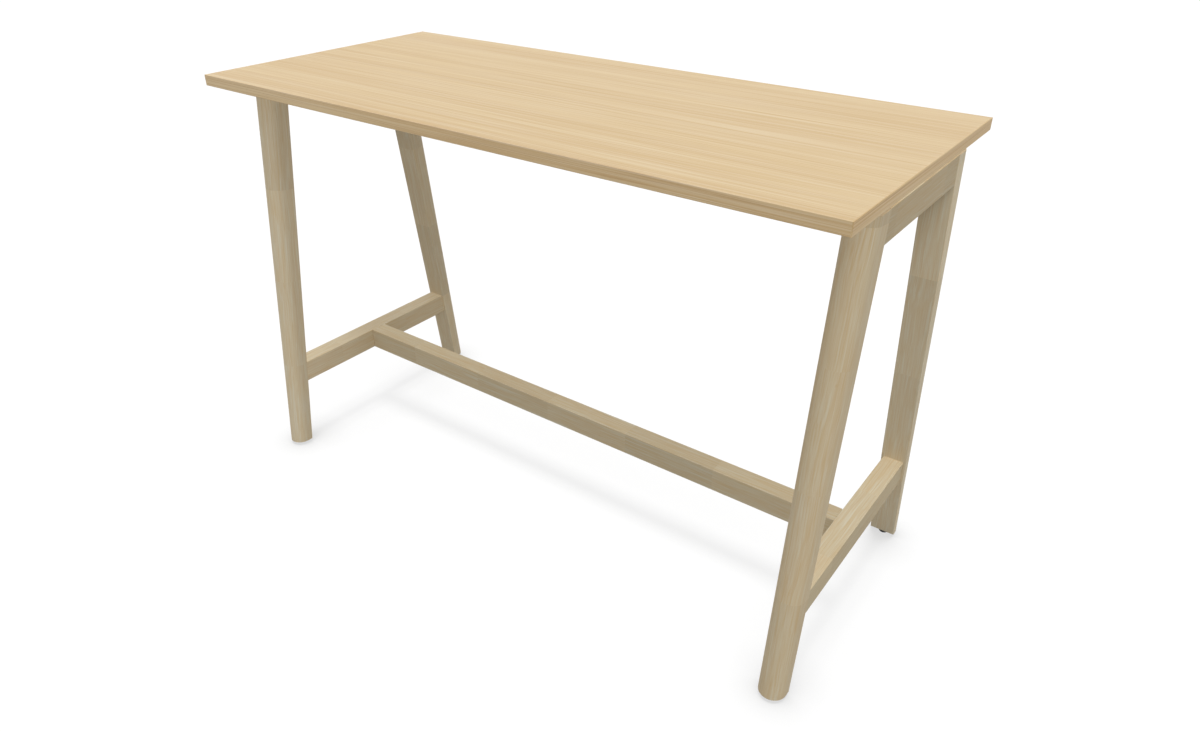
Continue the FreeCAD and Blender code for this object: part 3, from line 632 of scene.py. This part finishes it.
# Each rail has tones for its sides and for its upper face, at its front end and from its middle on.
# Besides the rail's own hue they hold painted light and shade: the upper face is painted lighter or
# darker than the sides, and a painted shade of the top changes from the front end to the middle.
side_hue_and_shade = {
    "left_top_rail": ((0.920, 0.900, 0.870, 1), (0.920, 0.900, 0.870, 1)),
    "right_top_rail": ((0.835, 0.805, 0.755, 1), (0.835, 0.805, 0.755, 1)),
    "left_lower_rail": ((1.120, 1.100, 1.090, 1), (0.915, 0.895, 0.868, 1)),
    "right_lower_rail": ((0.872, 0.856, 0.808, 1), (0.872, 0.856, 0.808, 1)),
}
upper_painted_light = {
    "left_top_rail": ((0.920, 0.900, 0.870, 1), (0.920, 0.900, 0.870, 1)),
    "right_top_rail": ((1.130, 1.140, 1.130, 1), (1.130, 1.140, 1.130, 1)),
    "left_lower_rail": ((1.070, 1.090, 1.130, 1), (0.800, 0.800, 0.816, 1)),
    "right_lower_rail": ((0.990, 0.978, 0.960, 1), (1.015, 1.020, 1.027, 1)),
}
# Painted shade eases in between these places from the front; painted light takes the upper faces between
# these upward shares.
painted_shade_front = -0.27
painted_shade_middle = 0.02
painted_light_upward_none = 0.60
painted_light_upward_full = 0.90
beech_pale = (0.600, 0.420, 0.260, 1)
beech_deep = (0.500, 0.330, 0.190, 1)
beech_streak = (0.640, 0.470, 0.310, 1)
beech_line = (0.420, 0.260, 0.140, 1)
first_rail_seed = 5
beech_seed = 20


def paint_rail_light_and_shade(material, side_hue_and_shade_pair, upper_painted_light_pair):
    """Paint light and shade onto a rail: its tone eases from its front end to its middle, and its upper
    face has a painted pair of its own.
    """
    tree = material.node_tree
    place = tree.nodes.new("ShaderNodeTexCoord").outputs["Object"]
    backward = add_node(tree, "ShaderNodeSeparateXYZ", [("Vector", place)]).outputs["Y"]
    painted_shade_share = ramp(tree, backward, painted_shade_front, painted_shade_middle)
    facing = tree.nodes.new("ShaderNodeNewGeometry").outputs["Normal"]
    upward = add_node(tree, "ShaderNodeSeparateXYZ", [("Vector", facing)]).outputs["Z"]
    # Faces that point up take the upper face's painted light or shade.
    painted_light_share = ramp(tree, upward, painted_light_upward_none, painted_light_upward_full)
    side_tone = blend(tree, painted_shade_share, *side_hue_and_shade_pair)
    upper_tone = blend(tree, painted_shade_share, *upper_painted_light_pair)
    tone = blend(tree, painted_light_share, side_tone, upper_tone)
    tree.links.new(tone, grain_of(material).inputs["Tone"])


for seed, rail in enumerate(side_hue_and_shade, first_rail_seed):
    finish = ash_finish(f"Ash {rail}", rail_turn, rail_stave_shift, rail_stave_spread, seed)
    paint_rail_light_and_shade(finish, side_hue_and_shade[rail], upper_painted_light[rail])
    cover(rail, finish)


def beech_finish(name, turn):
    """Plain beech for dowels, with the same grain in its own colours."""
    material = ash_finish(name, turn, stave_shift=0.0, stave_spread=0.0, seed=beech_seed)
    effect = grain_of(material)
    effect.inputs["Pale"].default_value = beech_pale
    effect.inputs["Deep"].default_value = beech_deep
    effect.inputs["Streak"].default_value = beech_streak
    effect.inputs["Line"].default_value = beech_line
    return material


cover("rail_dowels", beech_finish("Beech across", rail_turn))


# Footrest stretcher
# A bar of ash between the lower rails. Dowels hold its ends in line, and zinc cams in its underside
# draw it tight on bolts that stand in the rails. A bevel round each end leaves a fine shadow line.
stretcher_turn = (0, math.radians(-90), 0)
stretcher_stave_shift = 0.06
# The stretcher's tone is darkened as painted shade of the top above it.
stretcher_painted_shade = (0.846, 0.840, 0.830, 1)
stretcher_seed = 11
cam_radius = 0.0075
cam_height = 0.019
cam_ease = 0.0004
cam_slot_depth = 0.0045
cam_slot_floor = 0.0050
cam_slot_mouth = 0.0056
cam_segments = 48

cover("footrest_stretcher", ash_finish(
    "Ash stretcher",
    stretcher_turn,
    stretcher_stave_shift,
    rail_stave_spread,
    stretcher_seed,
    stretcher_painted_shade,
))
cover("stretcher_dowels", beech_finish("Beech along", stretcher_turn))
cover("stretcher_cam_bolts", zinc)


def chance_between(tree, smallest, largest, seed):
    """A number by chance for each copy."""
    chance = tree.nodes.new("FunctionNodeRandomValue")
    chance.data_type = "FLOAT"
    limits = [socket for socket in chance.inputs if socket.type == "VALUE"]
    for socket, given in zip(limits, (smallest, largest)):
        if isinstance(given, bpy.types.NodeSocket):
            tree.links.new(given, socket)
        else:
            socket.default_value = given
    tree.links.new(seed, chance.inputs["Seed"])
    return next(socket for socket in chance.outputs if socket.type == "VALUE")


def set_out_tree():
    """Set a copy of a pattern at each point, turned to the point's own way, with a turn by chance."""
    tree, given = nodes_tree("Set out copies", [
        ("Pattern", "NodeSocketObject"),
        ("Seed", "NodeSocketInt"),
        ("Largest turn", "NodeSocketFloat"),
        ("Finish", "NodeSocketMaterial"),
    ])
    pattern = add_node(tree, "GeometryNodeObjectInfo", [("Object", given["Pattern"])]).outputs["Geometry"]
    way = add_node(tree, "GeometryNodeInputNamedAttribute", [
        ("Name", "way"),
    ], data_type="FLOAT_VECTOR").outputs[0]
    facing = add_node(tree, "FunctionNodeAlignRotationToVector", [("Vector", way)], axis="Z").outputs[0]
    spin = add_node(tree, "FunctionNodeAxisAngleToRotation", [
        ("Axis", (0, 0, 1)),
        ("Angle", chance_between(tree, 0.0, given["Largest turn"], given["Seed"])),
    ]).outputs[0]
    turned = add_node(tree, "FunctionNodeRotateRotation", [
        (0, facing),
        (1, spin),
    ], rotation_space="LOCAL").outputs[0]
    copies = add_node(tree, "GeometryNodeInstanceOnPoints", [
        ("Points", given["Geometry"]),
        ("Instance", pattern),
        ("Rotation", turned),
    ]).outputs[0]
    close_tree(tree, copies, given["Finish"])
    return tree


set_out = set_out_tree()


def set_out_copies(name, node_name, pattern, spots, finish, seed):
    """Copies of a pattern at spots, each a point and the way its third axis goes, for one node."""
    mesh = bpy.data.meshes.new(name)
    mesh.from_pydata([point for point, way in spots], [], [])
    ways = mesh.attributes.new("way", "FLOAT_VECTOR", "POINT")
    for item, (point, way) in zip(ways.data, spots):
        item.vector = way
    piece = bpy.data.objects.new(name, mesh)
    bpy.context.scene.collection.objects.link(piece)
    made_solid(piece, set_out, {
        "Pattern": pattern,
        "Seed": seed,
        "Largest turn": 2 * math.pi,
        "Finish": finish,
    })
    soften(piece)
    bpy.data.objects.remove(pattern)
    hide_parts(node_name)
    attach(piece, "table")
    return piece


cam_low, cam_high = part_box("stretcher_cams")
cam_x = cam_high.x - cam_radius
cam_y = cam_high.y - cam_radius
cam_rings = [
    (0, cam_slot_depth, round_shape),
    (cam_slot_floor, cam_slot_depth, cross_shape),
    (cam_slot_mouth, 0, cross_shape),
    (cam_radius - cam_ease, 0, round_shape),
    (cam_radius, cam_ease, round_shape),
    (cam_radius, cam_height - cam_ease, round_shape),
    (cam_radius - cam_ease, cam_height, round_shape),
    (0, cam_height, round_shape),
]
cam_pattern = turned_piece("cam_pattern", cam_rings, cam_segments)
cam_spots = [
    ((side * cam_x, end * cam_y, cam_low.z), (0, 0, 1))
    for side in (-1, 1)
    for end in (-1, 1)
]
set_out_copies("slotted_cams", "stretcher_cams", cam_pattern, cam_spots, zinc, seed=3)


# Steel beams under the top
# Two box-section tubes keep the long board straight. Each has a plate welded to both ends, bolted
# to the top rails, and three tabs that are screwed to the board. All of it is powder-coated black.
coat_black = (0.016, 0.016, 0.017, 1)
coat_grey = (0.026, 0.026, 0.027, 1)
weld_radius = 0.0021
weld_pitch = 0.0017
weld_corner = 0.004
weld_top_gap = 0.004
smallest_bead = 0.90
largest_bead = 1.08
bead_sharp_degrees = 80.0
button_radius = 0.00525
button_height = 0.0033
button_crown = 0.0030
button_key = 0.002
button_key_depth = 0.002
button_shank = 0.003
screw_head_radius = 0.005
screw_head_height = 0.0035
screw_crown = 0.0032
screw_recess = 0.0023
screw_recess_depth = 0.0022
screw_shank = 0.0025
key_cone = 0.0004
key_mouth = 0.0003
key_mouth_depth = 0.0002
head_ease = 0.0004
head_seat_ease = 0.0002
tip_ease = 0.0008

coating = grained_finish(
    "Powder coat",
    (coat_black, coat_grey),
    grain=900.0,
    cloud=60.0,
    smooth=0.38,
    rough=0.52,
    relief=0.18,
    depth=0.0003,
)
for node_name in ("front_beam", "rear_beam", "beam_end_plates", "beam_tabs"):
    cover(node_name, coating)
cover("beam_inserts", zinc)


def weld_tree():
    """Beads of weld, one over the next, along a path with rounded corners."""
    tree, given = nodes_tree("Weld beads", [
        ("Corner radius", "NodeSocketFloat"),
        ("Pitch", "NodeSocketFloat"),
        ("Bead radius", "NodeSocketFloat"),
        ("Seed", "NodeSocketInt"),
        ("Finish", "NodeSocketMaterial"),
    ])
    path = add_node(tree, "GeometryNodeMeshToCurve", [("Mesh", given["Geometry"])]).outputs[0]
    rounded = add_node(tree, "GeometryNodeFilletCurve", [
        ("Curve", path),
        ("Count", 4),
        ("Radius", given["Corner radius"]),
    ], mode="POLY").outputs[0]
    steps = add_node(tree, "GeometryNodeResampleCurve", [
        ("Curve", rounded),
        ("Length", given["Pitch"]),
    ], mode="LENGTH").outputs[0]
    bead = add_node(tree, "GeometryNodeMeshIcoSphere", [
        ("Radius", given["Bead radius"]),
        ("Subdivisions", 2),
    ]).outputs[0]
    size = chance_between(tree, smallest_bead, largest_bead, given["Seed"])
    beads = add_node(tree, "GeometryNodeInstanceOnPoints", [
        ("Points", steps),
        ("Instance", bead),
        ("Scale", size),
    ]).outputs[0]
    close_tree(tree, beads, given["Finish"])
    return tree


weld_points = []
weld_edges = []
for beam in ("front_beam", "rear_beam"):
    low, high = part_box(beam)
    for x in (low.x, high.x):
        first = len(weld_points)
        top = high.z - weld_top_gap
        weld_points += [(x, low.y, top), (x, low.y, low.z), (x, high.y, low.z), (x, high.y, top)]
        weld_edges += [(first + step, first + step + 1) for step in range(3)]
weld_mesh = bpy.data.meshes.new("beam_welds")
weld_mesh.from_pydata(weld_points, weld_edges, [])
welds = bpy.data.objects.new("beam_welds", weld_mesh)
bpy.context.scene.collection.objects.link(welds)
made_solid(welds, weld_tree(), {
    "Corner radius": weld_corner,
    "Pitch": weld_pitch,
    "Bead radius": weld_radius,
    "Seed": 5,
    "Finish": coating,
})
soften(welds, bead_sharp_degrees)
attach(welds, "table")


def bolt_rings(head_radius, head_height, crown, key, key_shape, key_depth, shank_radius, length):
    """A bolt whose head sits under the origin, domed from its rim to its crown."""
    key_floor = key_depth - head_height
    rings = [
        (0, key_floor + key_cone, round_shape),
        (key, key_floor, key_shape),
        (key, key_mouth_depth - head_height, key_shape),
        (key + key_mouth, -head_height, key_shape),
    ]
    for degrees in (0, 25, 50, 70):
        angle = math.radians(degrees)
        radius = crown + (head_radius - crown) * math.sin(angle)
        rings.append((radius, -head_height * math.cos(angle), round_shape))
    rings += [
        (head_radius, -head_ease, round_shape),
        (head_radius - head_seat_ease, 0, round_shape),
        (shank_radius, 0, round_shape),
        (shank_radius, length - tip_ease, round_shape),
        (shank_radius - tip_ease, length, round_shape),
        (0, length, round_shape),
    ]
    return rings


bolt_low, bolt_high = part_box("beam_bolts")
beam_low, beam_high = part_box("rear_beam")
beam_middle = (beam_low.y + beam_high.y) / 2
bolt_step = bolt_high.y - button_radius - beam_middle
bolt_level = (bolt_low.z + bolt_high.z) / 2
bolt_seat = beam_high.x
bolt_length = bolt_high.x - bolt_seat
beam_bolt_rings = bolt_rings(
    head_radius=button_radius,
    head_height=button_height,
    crown=button_crown,
    key=button_key,
    key_shape=hexagon_shape,
    key_depth=button_key_depth,
    shank_radius=button_shank,
    length=bolt_length,
)
beam_bolt_pattern = turned_piece("beam_bolt_pattern", beam_bolt_rings, turned_segments)
beam_bolt_spots = [
    ((side * bolt_seat, end * (beam_middle + step), bolt_level), (side, 0, 0))
    for side in (-1, 1)
    for end in (-1, 1)
    for step in (-bolt_step, bolt_step)
]
set_out_copies(
    "button_bolts", "beam_bolts", beam_bolt_pattern, beam_bolt_spots, zinc, seed=7,
)

screw_low, screw_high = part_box("beam_tab_screws")
screw_seat = screw_low.z + screw_head_height
screw_y = screw_high.y - screw_head_radius
screw_x = screw_high.x - screw_head_radius
screw_length = screw_high.z - screw_seat
tab_screw_rings = bolt_rings(
    head_radius=screw_head_radius,
    head_height=screw_head_height,
    crown=screw_crown,
    key=screw_recess,
    key_shape=star_shape,
    key_depth=screw_recess_depth,
    shank_radius=screw_shank,
    length=screw_length,
)
tab_screw_pattern = turned_piece("tab_screw_pattern", tab_screw_rings, turned_segments)
tab_screw_spots = [
    ((step * screw_x, end * screw_y, screw_seat), (0, 0, 1))
    for step in (-1, 0, 1)
    for end in (-1, 1)
]
set_out_copies(
    "pan_head_screws", "beam_tab_screws", tab_screw_pattern, tab_screw_spots, zinc, seed=9,
)


# Spacers and bolts of the top
# Moulded discs keep a shadow gap between the top rails and the board. A cap-head bolt goes up through
# each, from a deep hole in the rail's underside into a sleeve in the board.
cap_radius = 0.005
cap_height = 0.006
cap_crown = 0.0046
cap_key = 0.0025
cap_key_depth = 0.003
cap_shank = 0.003

cover("top_spacers", plastic)
cover("top_inserts", zinc)
cap_low, cap_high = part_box("top_bolts")
cap_seat = cap_low.z + cap_height
cap_x = cap_high.x - cap_radius
cap_y = cap_high.y - cap_radius
cap_rings = bolt_rings(
    head_radius=cap_radius,
    head_height=cap_height,
    crown=cap_crown,
    key=cap_key,
    key_shape=hexagon_shape,
    key_depth=cap_key_depth,
    shank_radius=cap_shank,
    length=cap_high.z - cap_seat,
)
cap_pattern = turned_piece("cap_bolt_pattern", cap_rings, turned_segments)
cap_spots = [
    ((side * cap_x, end * cap_y, cap_seat), (0, 0, 1))
    for side in (-1, 1)
    for end in (-1, 1)
]
set_out_copies("cap_head_bolts", "top_bolts", cap_pattern, cap_spots, zinc, seed=11)


# Top
# A wood-based board faced with a light oak decor whose straight grain runs along the table. Bands
# of the same decor are glued to its edges, with the grain along each edge and the corners eased.
oak_light = (0.738, 0.565, 0.325, 1)
oak_tan = (0.652, 0.462, 0.240, 1)
oak_pale = (0.780, 0.640, 0.450, 1)
oak_line = (0.620, 0.420, 0.190, 1)
band_line = (0.500, 0.315, 0.155, 1)
board_tone = (0.977, 0.977, 0.977, 1)
band_tone = (1.02, 1.02, 1.02, 1)
end_tone = (0.936, 0.881, 0.771, 1)
board_fineness = 1.0
band_fineness = 1.8
decor_sway_per_metre = (1.1, 4.0, 1.0)
decor_sway_reach = 0.012
decor_band_per_metre = (0.6, 24.0, 24.0)
decor_streak_per_metre = (1.2, 165.0, 165.0)
decor_hair_per_metre = (1.6, 340.0, 340.0)
decor_pore_per_metre = (60.0, 1500.0, 1500.0)
oak_relief = 0.06
oak_relief_depth = 0.0003
oak_sheen = 0.22
along_table = (0, 0, 0)
along_end = (0, 0, math.radians(90))


def oak_print():
    """A printed oak decor with its grain along the first axis."""
    group, given = effect_group("Oak decor", [
        ("Place", "NodeSocketVector"),
        ("Tone", "NodeSocketColor"),
        ("Light", "NodeSocketColor"),
        ("Tan", "NodeSocketColor"),
        ("Pale", "NodeSocketColor"),
        ("Line", "NodeSocketColor"),
    ], surface_outputs)
    place = given["Place"]
    sway = mottle(group, stretch(group, place, decor_sway_per_metre), 1.0)
    sideways = figure(group, "MULTIPLY", sway, decor_sway_reach)
    drift = add_node(group, "ShaderNodeCombineXYZ", [(1, sideways)]).outputs[0]
    grain_place = shift(group, place, drift)
    band = mottle(group, stretch(group, grain_place, decor_band_per_metre), 1.0)
    streak_place = stretch(group, grain_place, decor_streak_per_metre)
    streak = mottle(group, streak_place, 1.0, detail=3.0, roughness=0.65)
    hair_place = stretch(group, grain_place, decor_hair_per_metre)
    hair = mottle(group, hair_place, 1.0, detail=3.0, roughness=0.7)
    pore = mottle(group, stretch(group, grain_place, decor_pore_per_metre), 1.0, detail=1.0)
    colour = blend(group, ramp(group, band, 0.25, 0.70, start=0.08, end=1.0), given["Tan"], given["Light"])
    colour = blend(group, ramp(group, streak, 0.50, 0.70, end=0.70), colour, given["Pale"])
    colour = blend(group, ramp(group, streak, 0.30, 0.50, start=0.90, end=0.0), colour, given["Tan"])
    colour = blend(group, ramp(group, hair, 0.48, 0.70, end=0.75), colour, given["Pale"])
    colour = blend(group, ramp(group, hair, 0.30, 0.52, start=0.75, end=0.0), colour, given["Line"])
    colour = blend(group, ramp(group, pore, 0.60, 0.80, end=0.30), colour, given["Line"])
    colour = blend(group, 1.0, colour, given["Tone"], "MULTIPLY")
    roughness = ramp(group, hair, 0.2, 0.8, start=0.44, end=0.54)
    relief = figure(group, "SUBTRACT", hair, ramp(group, pore, 0.60, 0.80))
    close_group(group, colour, roughness, relief)
    return group


oak_decor = oak_print()


def oak_finish(name, turn, offset, tone, line, fineness):
    """Oak decor, turned so that its grain runs along the piece."""
    material, tree, shader, place = new_finish(name)
    wires = [("Vector", place), ("Rotation", turn), ("Location", offset)]
    turned = add_node(tree, "ShaderNodeMapping", wires).outputs[0]
    turned = stretch(tree, turned, (1.0, fineness, fineness))
    effect = add_node(tree, "ShaderNodeGroup", node_tree=oak_decor)
    tree.links.new(turned, effect.inputs["Place"])
    effect.inputs["Tone"].default_value = tone
    effect.inputs["Light"].default_value = oak_light
    effect.inputs["Tan"].default_value = oak_tan
    effect.inputs["Pale"].default_value = oak_pale
    effect.inputs["Line"].default_value = line
    surface(tree, shader, effect, oak_relief, oak_relief_depth)
    shader.inputs["Specular IOR Level"].default_value = oak_sheen
    return material


edge_bands = {
    "front": (along_table, (2.3, 0.4, 0), band_tone),
    "rear": (along_table, (4.1, 0.9, 0), band_tone),
    "left": (along_end, (6.7, 0.2, 0), end_tone),
    "right": (along_end, (8.3, 0.7, 0), end_tone),
}
board_offset = (1.7, 0.35, 0)
board_finish = oak_finish("Oak board", along_table, board_offset, board_tone, oak_line, board_fineness)
cover("tabletop_board", board_finish)
for side, (turn, offset, tone) in edge_bands.items():
    finish = oak_finish(f"Oak {side} band", turn, offset, tone, band_line, band_fineness)
    cover(f"{side}_edge_band", finish)


# Studio
# A white floor that fades into a white surround, a plain bright sky, and three soft lamps that the top,
# the legs and the lower rails let through. A fourth lamp lights the floor alone, which keeps the faint
# shadows of legs and bars. The camera stands where the photograph's did.
floor_half = 30.0
floor_bounce = 0.12
floor_glow = 0.78
floor_tint = 0.10
shadow_share = 0.165
shadow_angle = math.radians(20)
# Painted contact shade: the floor's glow is darkened where parts stand close above it.
contact_shade_reach = 0.13
contact_shade_full = 0.66
contact_shade_none = 1.00
contact_shade_samples = 12
contact_shade_level = 0.79
sky_low = 0.20
sky_high = 0.66
lamp_angle = math.radians(40)
lamps = {
    "Key lamp": Vector((0.24, -0.24, 0.48)),
    "Left fill": Vector((-0.16, -0.02, 0.02)),
    "Rear fill": Vector((0.00, 0.22, 0.02)),
}
camera_spot = Vector((1.2112, -1.5219, 1.5094))
camera_azimuth = math.radians(36.263)
camera_elevation = math.radians(30.404)
camera_lens = 26.508
camera_sensor = 36.0

floor_mesh = bpy.data.meshes.new("studio_floor")
floor_corners = [(x * floor_half, y * floor_half, 0) for x, y in ((-1, -1), (1, -1), (1, 1), (-1, 1))]
floor_mesh.from_pydata(floor_corners, [], [(0, 1, 2, 3)])
floor = bpy.data.objects.new("studio_floor", floor_mesh)
bpy.context.scene.collection.objects.link(floor)
floor_finish = bpy.data.materials.new("Studio floor")
floor_finish.use_nodes = True
tree = floor_finish.node_tree
tree.nodes.clear()


def seen_by_eye(tree):
    """1 for rays that show the surround, straight or in gloss and glass, and 0 for light."""
    path = tree.nodes.new("ShaderNodeLightPath").outputs
    straight = figure(tree, "MAXIMUM", path["Is Camera Ray"], path["Is Glossy Ray"])
    return figure(tree, "MAXIMUM", straight, path["Is Transmission Ray"])


# Ambient occlusion darkens the floor's glow near the feet, as painted contact shade.
near = add_node(tree, "ShaderNodeAmbientOcclusion", [
    ("Distance", contact_shade_reach),
], samples=contact_shade_samples).outputs["AO"]
white = add_node(tree, "ShaderNodeMapRange", [
    ("Value", near),
    ("From Min", contact_shade_full),
    ("From Max", contact_shade_none),
    ("To Min", contact_shade_level * floor_glow),
    ("To Max", floor_glow),
]).outputs[0]
glow = add_node(tree, "ShaderNodeEmission", [("Strength", white)]).outputs[0]
tint = add_node(tree, "ShaderNodeBsdfDiffuse", [
    ("Color", (floor_tint, floor_tint, floor_tint, 1)),
]).outputs[0]
shown = add_node(tree, "ShaderNodeAddShader", [(0, glow), (1, tint)]).outputs[0]
bounce = add_node(tree, "ShaderNodeBsdfDiffuse", [
    ("Color", (floor_bounce, floor_bounce, floor_bounce, 1)),
]).outputs[0]
either = add_node(tree, "ShaderNodeMixShader", [
    (0, seen_by_eye(tree)),
    (1, bounce),
    (2, shown),
]).outputs[0]
below = tree.nodes.new("ShaderNodeNewGeometry").outputs["Backfacing"]
clear = tree.nodes.new("ShaderNodeBsdfTransparent").outputs[0]
one_way = add_node(tree, "ShaderNodeMixShader", [(0, below), (1, either), (2, clear)]).outputs[0]
add_node(tree, "ShaderNodeOutputMaterial", [("Surface", one_way)])
floor_mesh.materials.append(floor_finish)
floor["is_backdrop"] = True

world = bpy.data.worlds.new("Studio sky")
world.use_nodes = True
tree = world.node_tree
sky = tree.nodes["Background"]
sky_place = tree.nodes.new("ShaderNodeTexCoord").outputs["Generated"]
way_up = add_node(tree, "ShaderNodeSeparateXYZ", [(0, sky_place)]).outputs[2]
sky_light = add_node(tree, "ShaderNodeMapRange", [
    ("Value", way_up),
    ("To Min", sky_low),
    ("To Max", sky_high),
]).outputs[0]
strength = figure(tree, "MAXIMUM", sky_light, seen_by_eye(tree))
tree.links.new(strength, sky.inputs["Strength"])
sky.inputs["Color"].default_value = (1, 1, 1, 1)
bpy.context.scene.world = world

floor_casters = bpy.data.collections.new("Floor shadow casters")
frame_casters = bpy.data.collections.new("Frame shadow casters")
for node_name, node in nodes.items():
    if node_name == "tabletop_board" or node_name.endswith("edge_band"):
        continue
    floor_casters.objects.link(node)
    if not node_name.endswith(("lower_rail", "_leg")):
        frame_casters.objects.link(node)
floor_alone = bpy.data.collections.new("Floor shadow takers")
floor_alone.objects.link(floor)


def sun_lamp(name, energy, angle, casters):
    """A lamp from straight above, for which only the casters throw shadows."""
    lamp_data = bpy.data.lights.new(name, "SUN")
    lamp_data.energy = energy
    lamp_data.angle = angle
    lamp = bpy.data.objects.new(name, lamp_data)
    lamp.light_linking.blocker_collection = casters
    bpy.context.scene.collection.objects.link(lamp)
    return lamp


for name, light in lamps.items():
    lamp = sun_lamp(name, math.pi * light.length, lamp_angle, frame_casters)
    lamp.visible_glossy = False
    lamp.rotation_euler = light.to_track_quat("Z", "Y").to_euler()
floor_lamp = sun_lamp("Floor lamp", math.pi * shadow_share / floor_tint, shadow_angle, floor_casters)
floor_lamp.light_linking.receiver_collection = floor_alone

camera_data = bpy.data.cameras.new("Camera")
camera_data.lens = camera_lens
camera_data.sensor_width = camera_sensor
camera = bpy.data.objects.new("Camera", camera_data)
camera.location = camera_spot
camera_back = Vector((
    math.sin(camera_azimuth) * math.cos(camera_elevation),
    -math.cos(camera_azimuth) * math.cos(camera_elevation),
    math.sin(camera_elevation),
))
camera.rotation_euler = camera_back.to_track_quat("Z", "Y").to_euler()
bpy.context.scene.collection.objects.link(camera)
bpy.context.scene.camera = camera
bpy.context.scene.view_settings.view_transform = "Standard"

low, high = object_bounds()
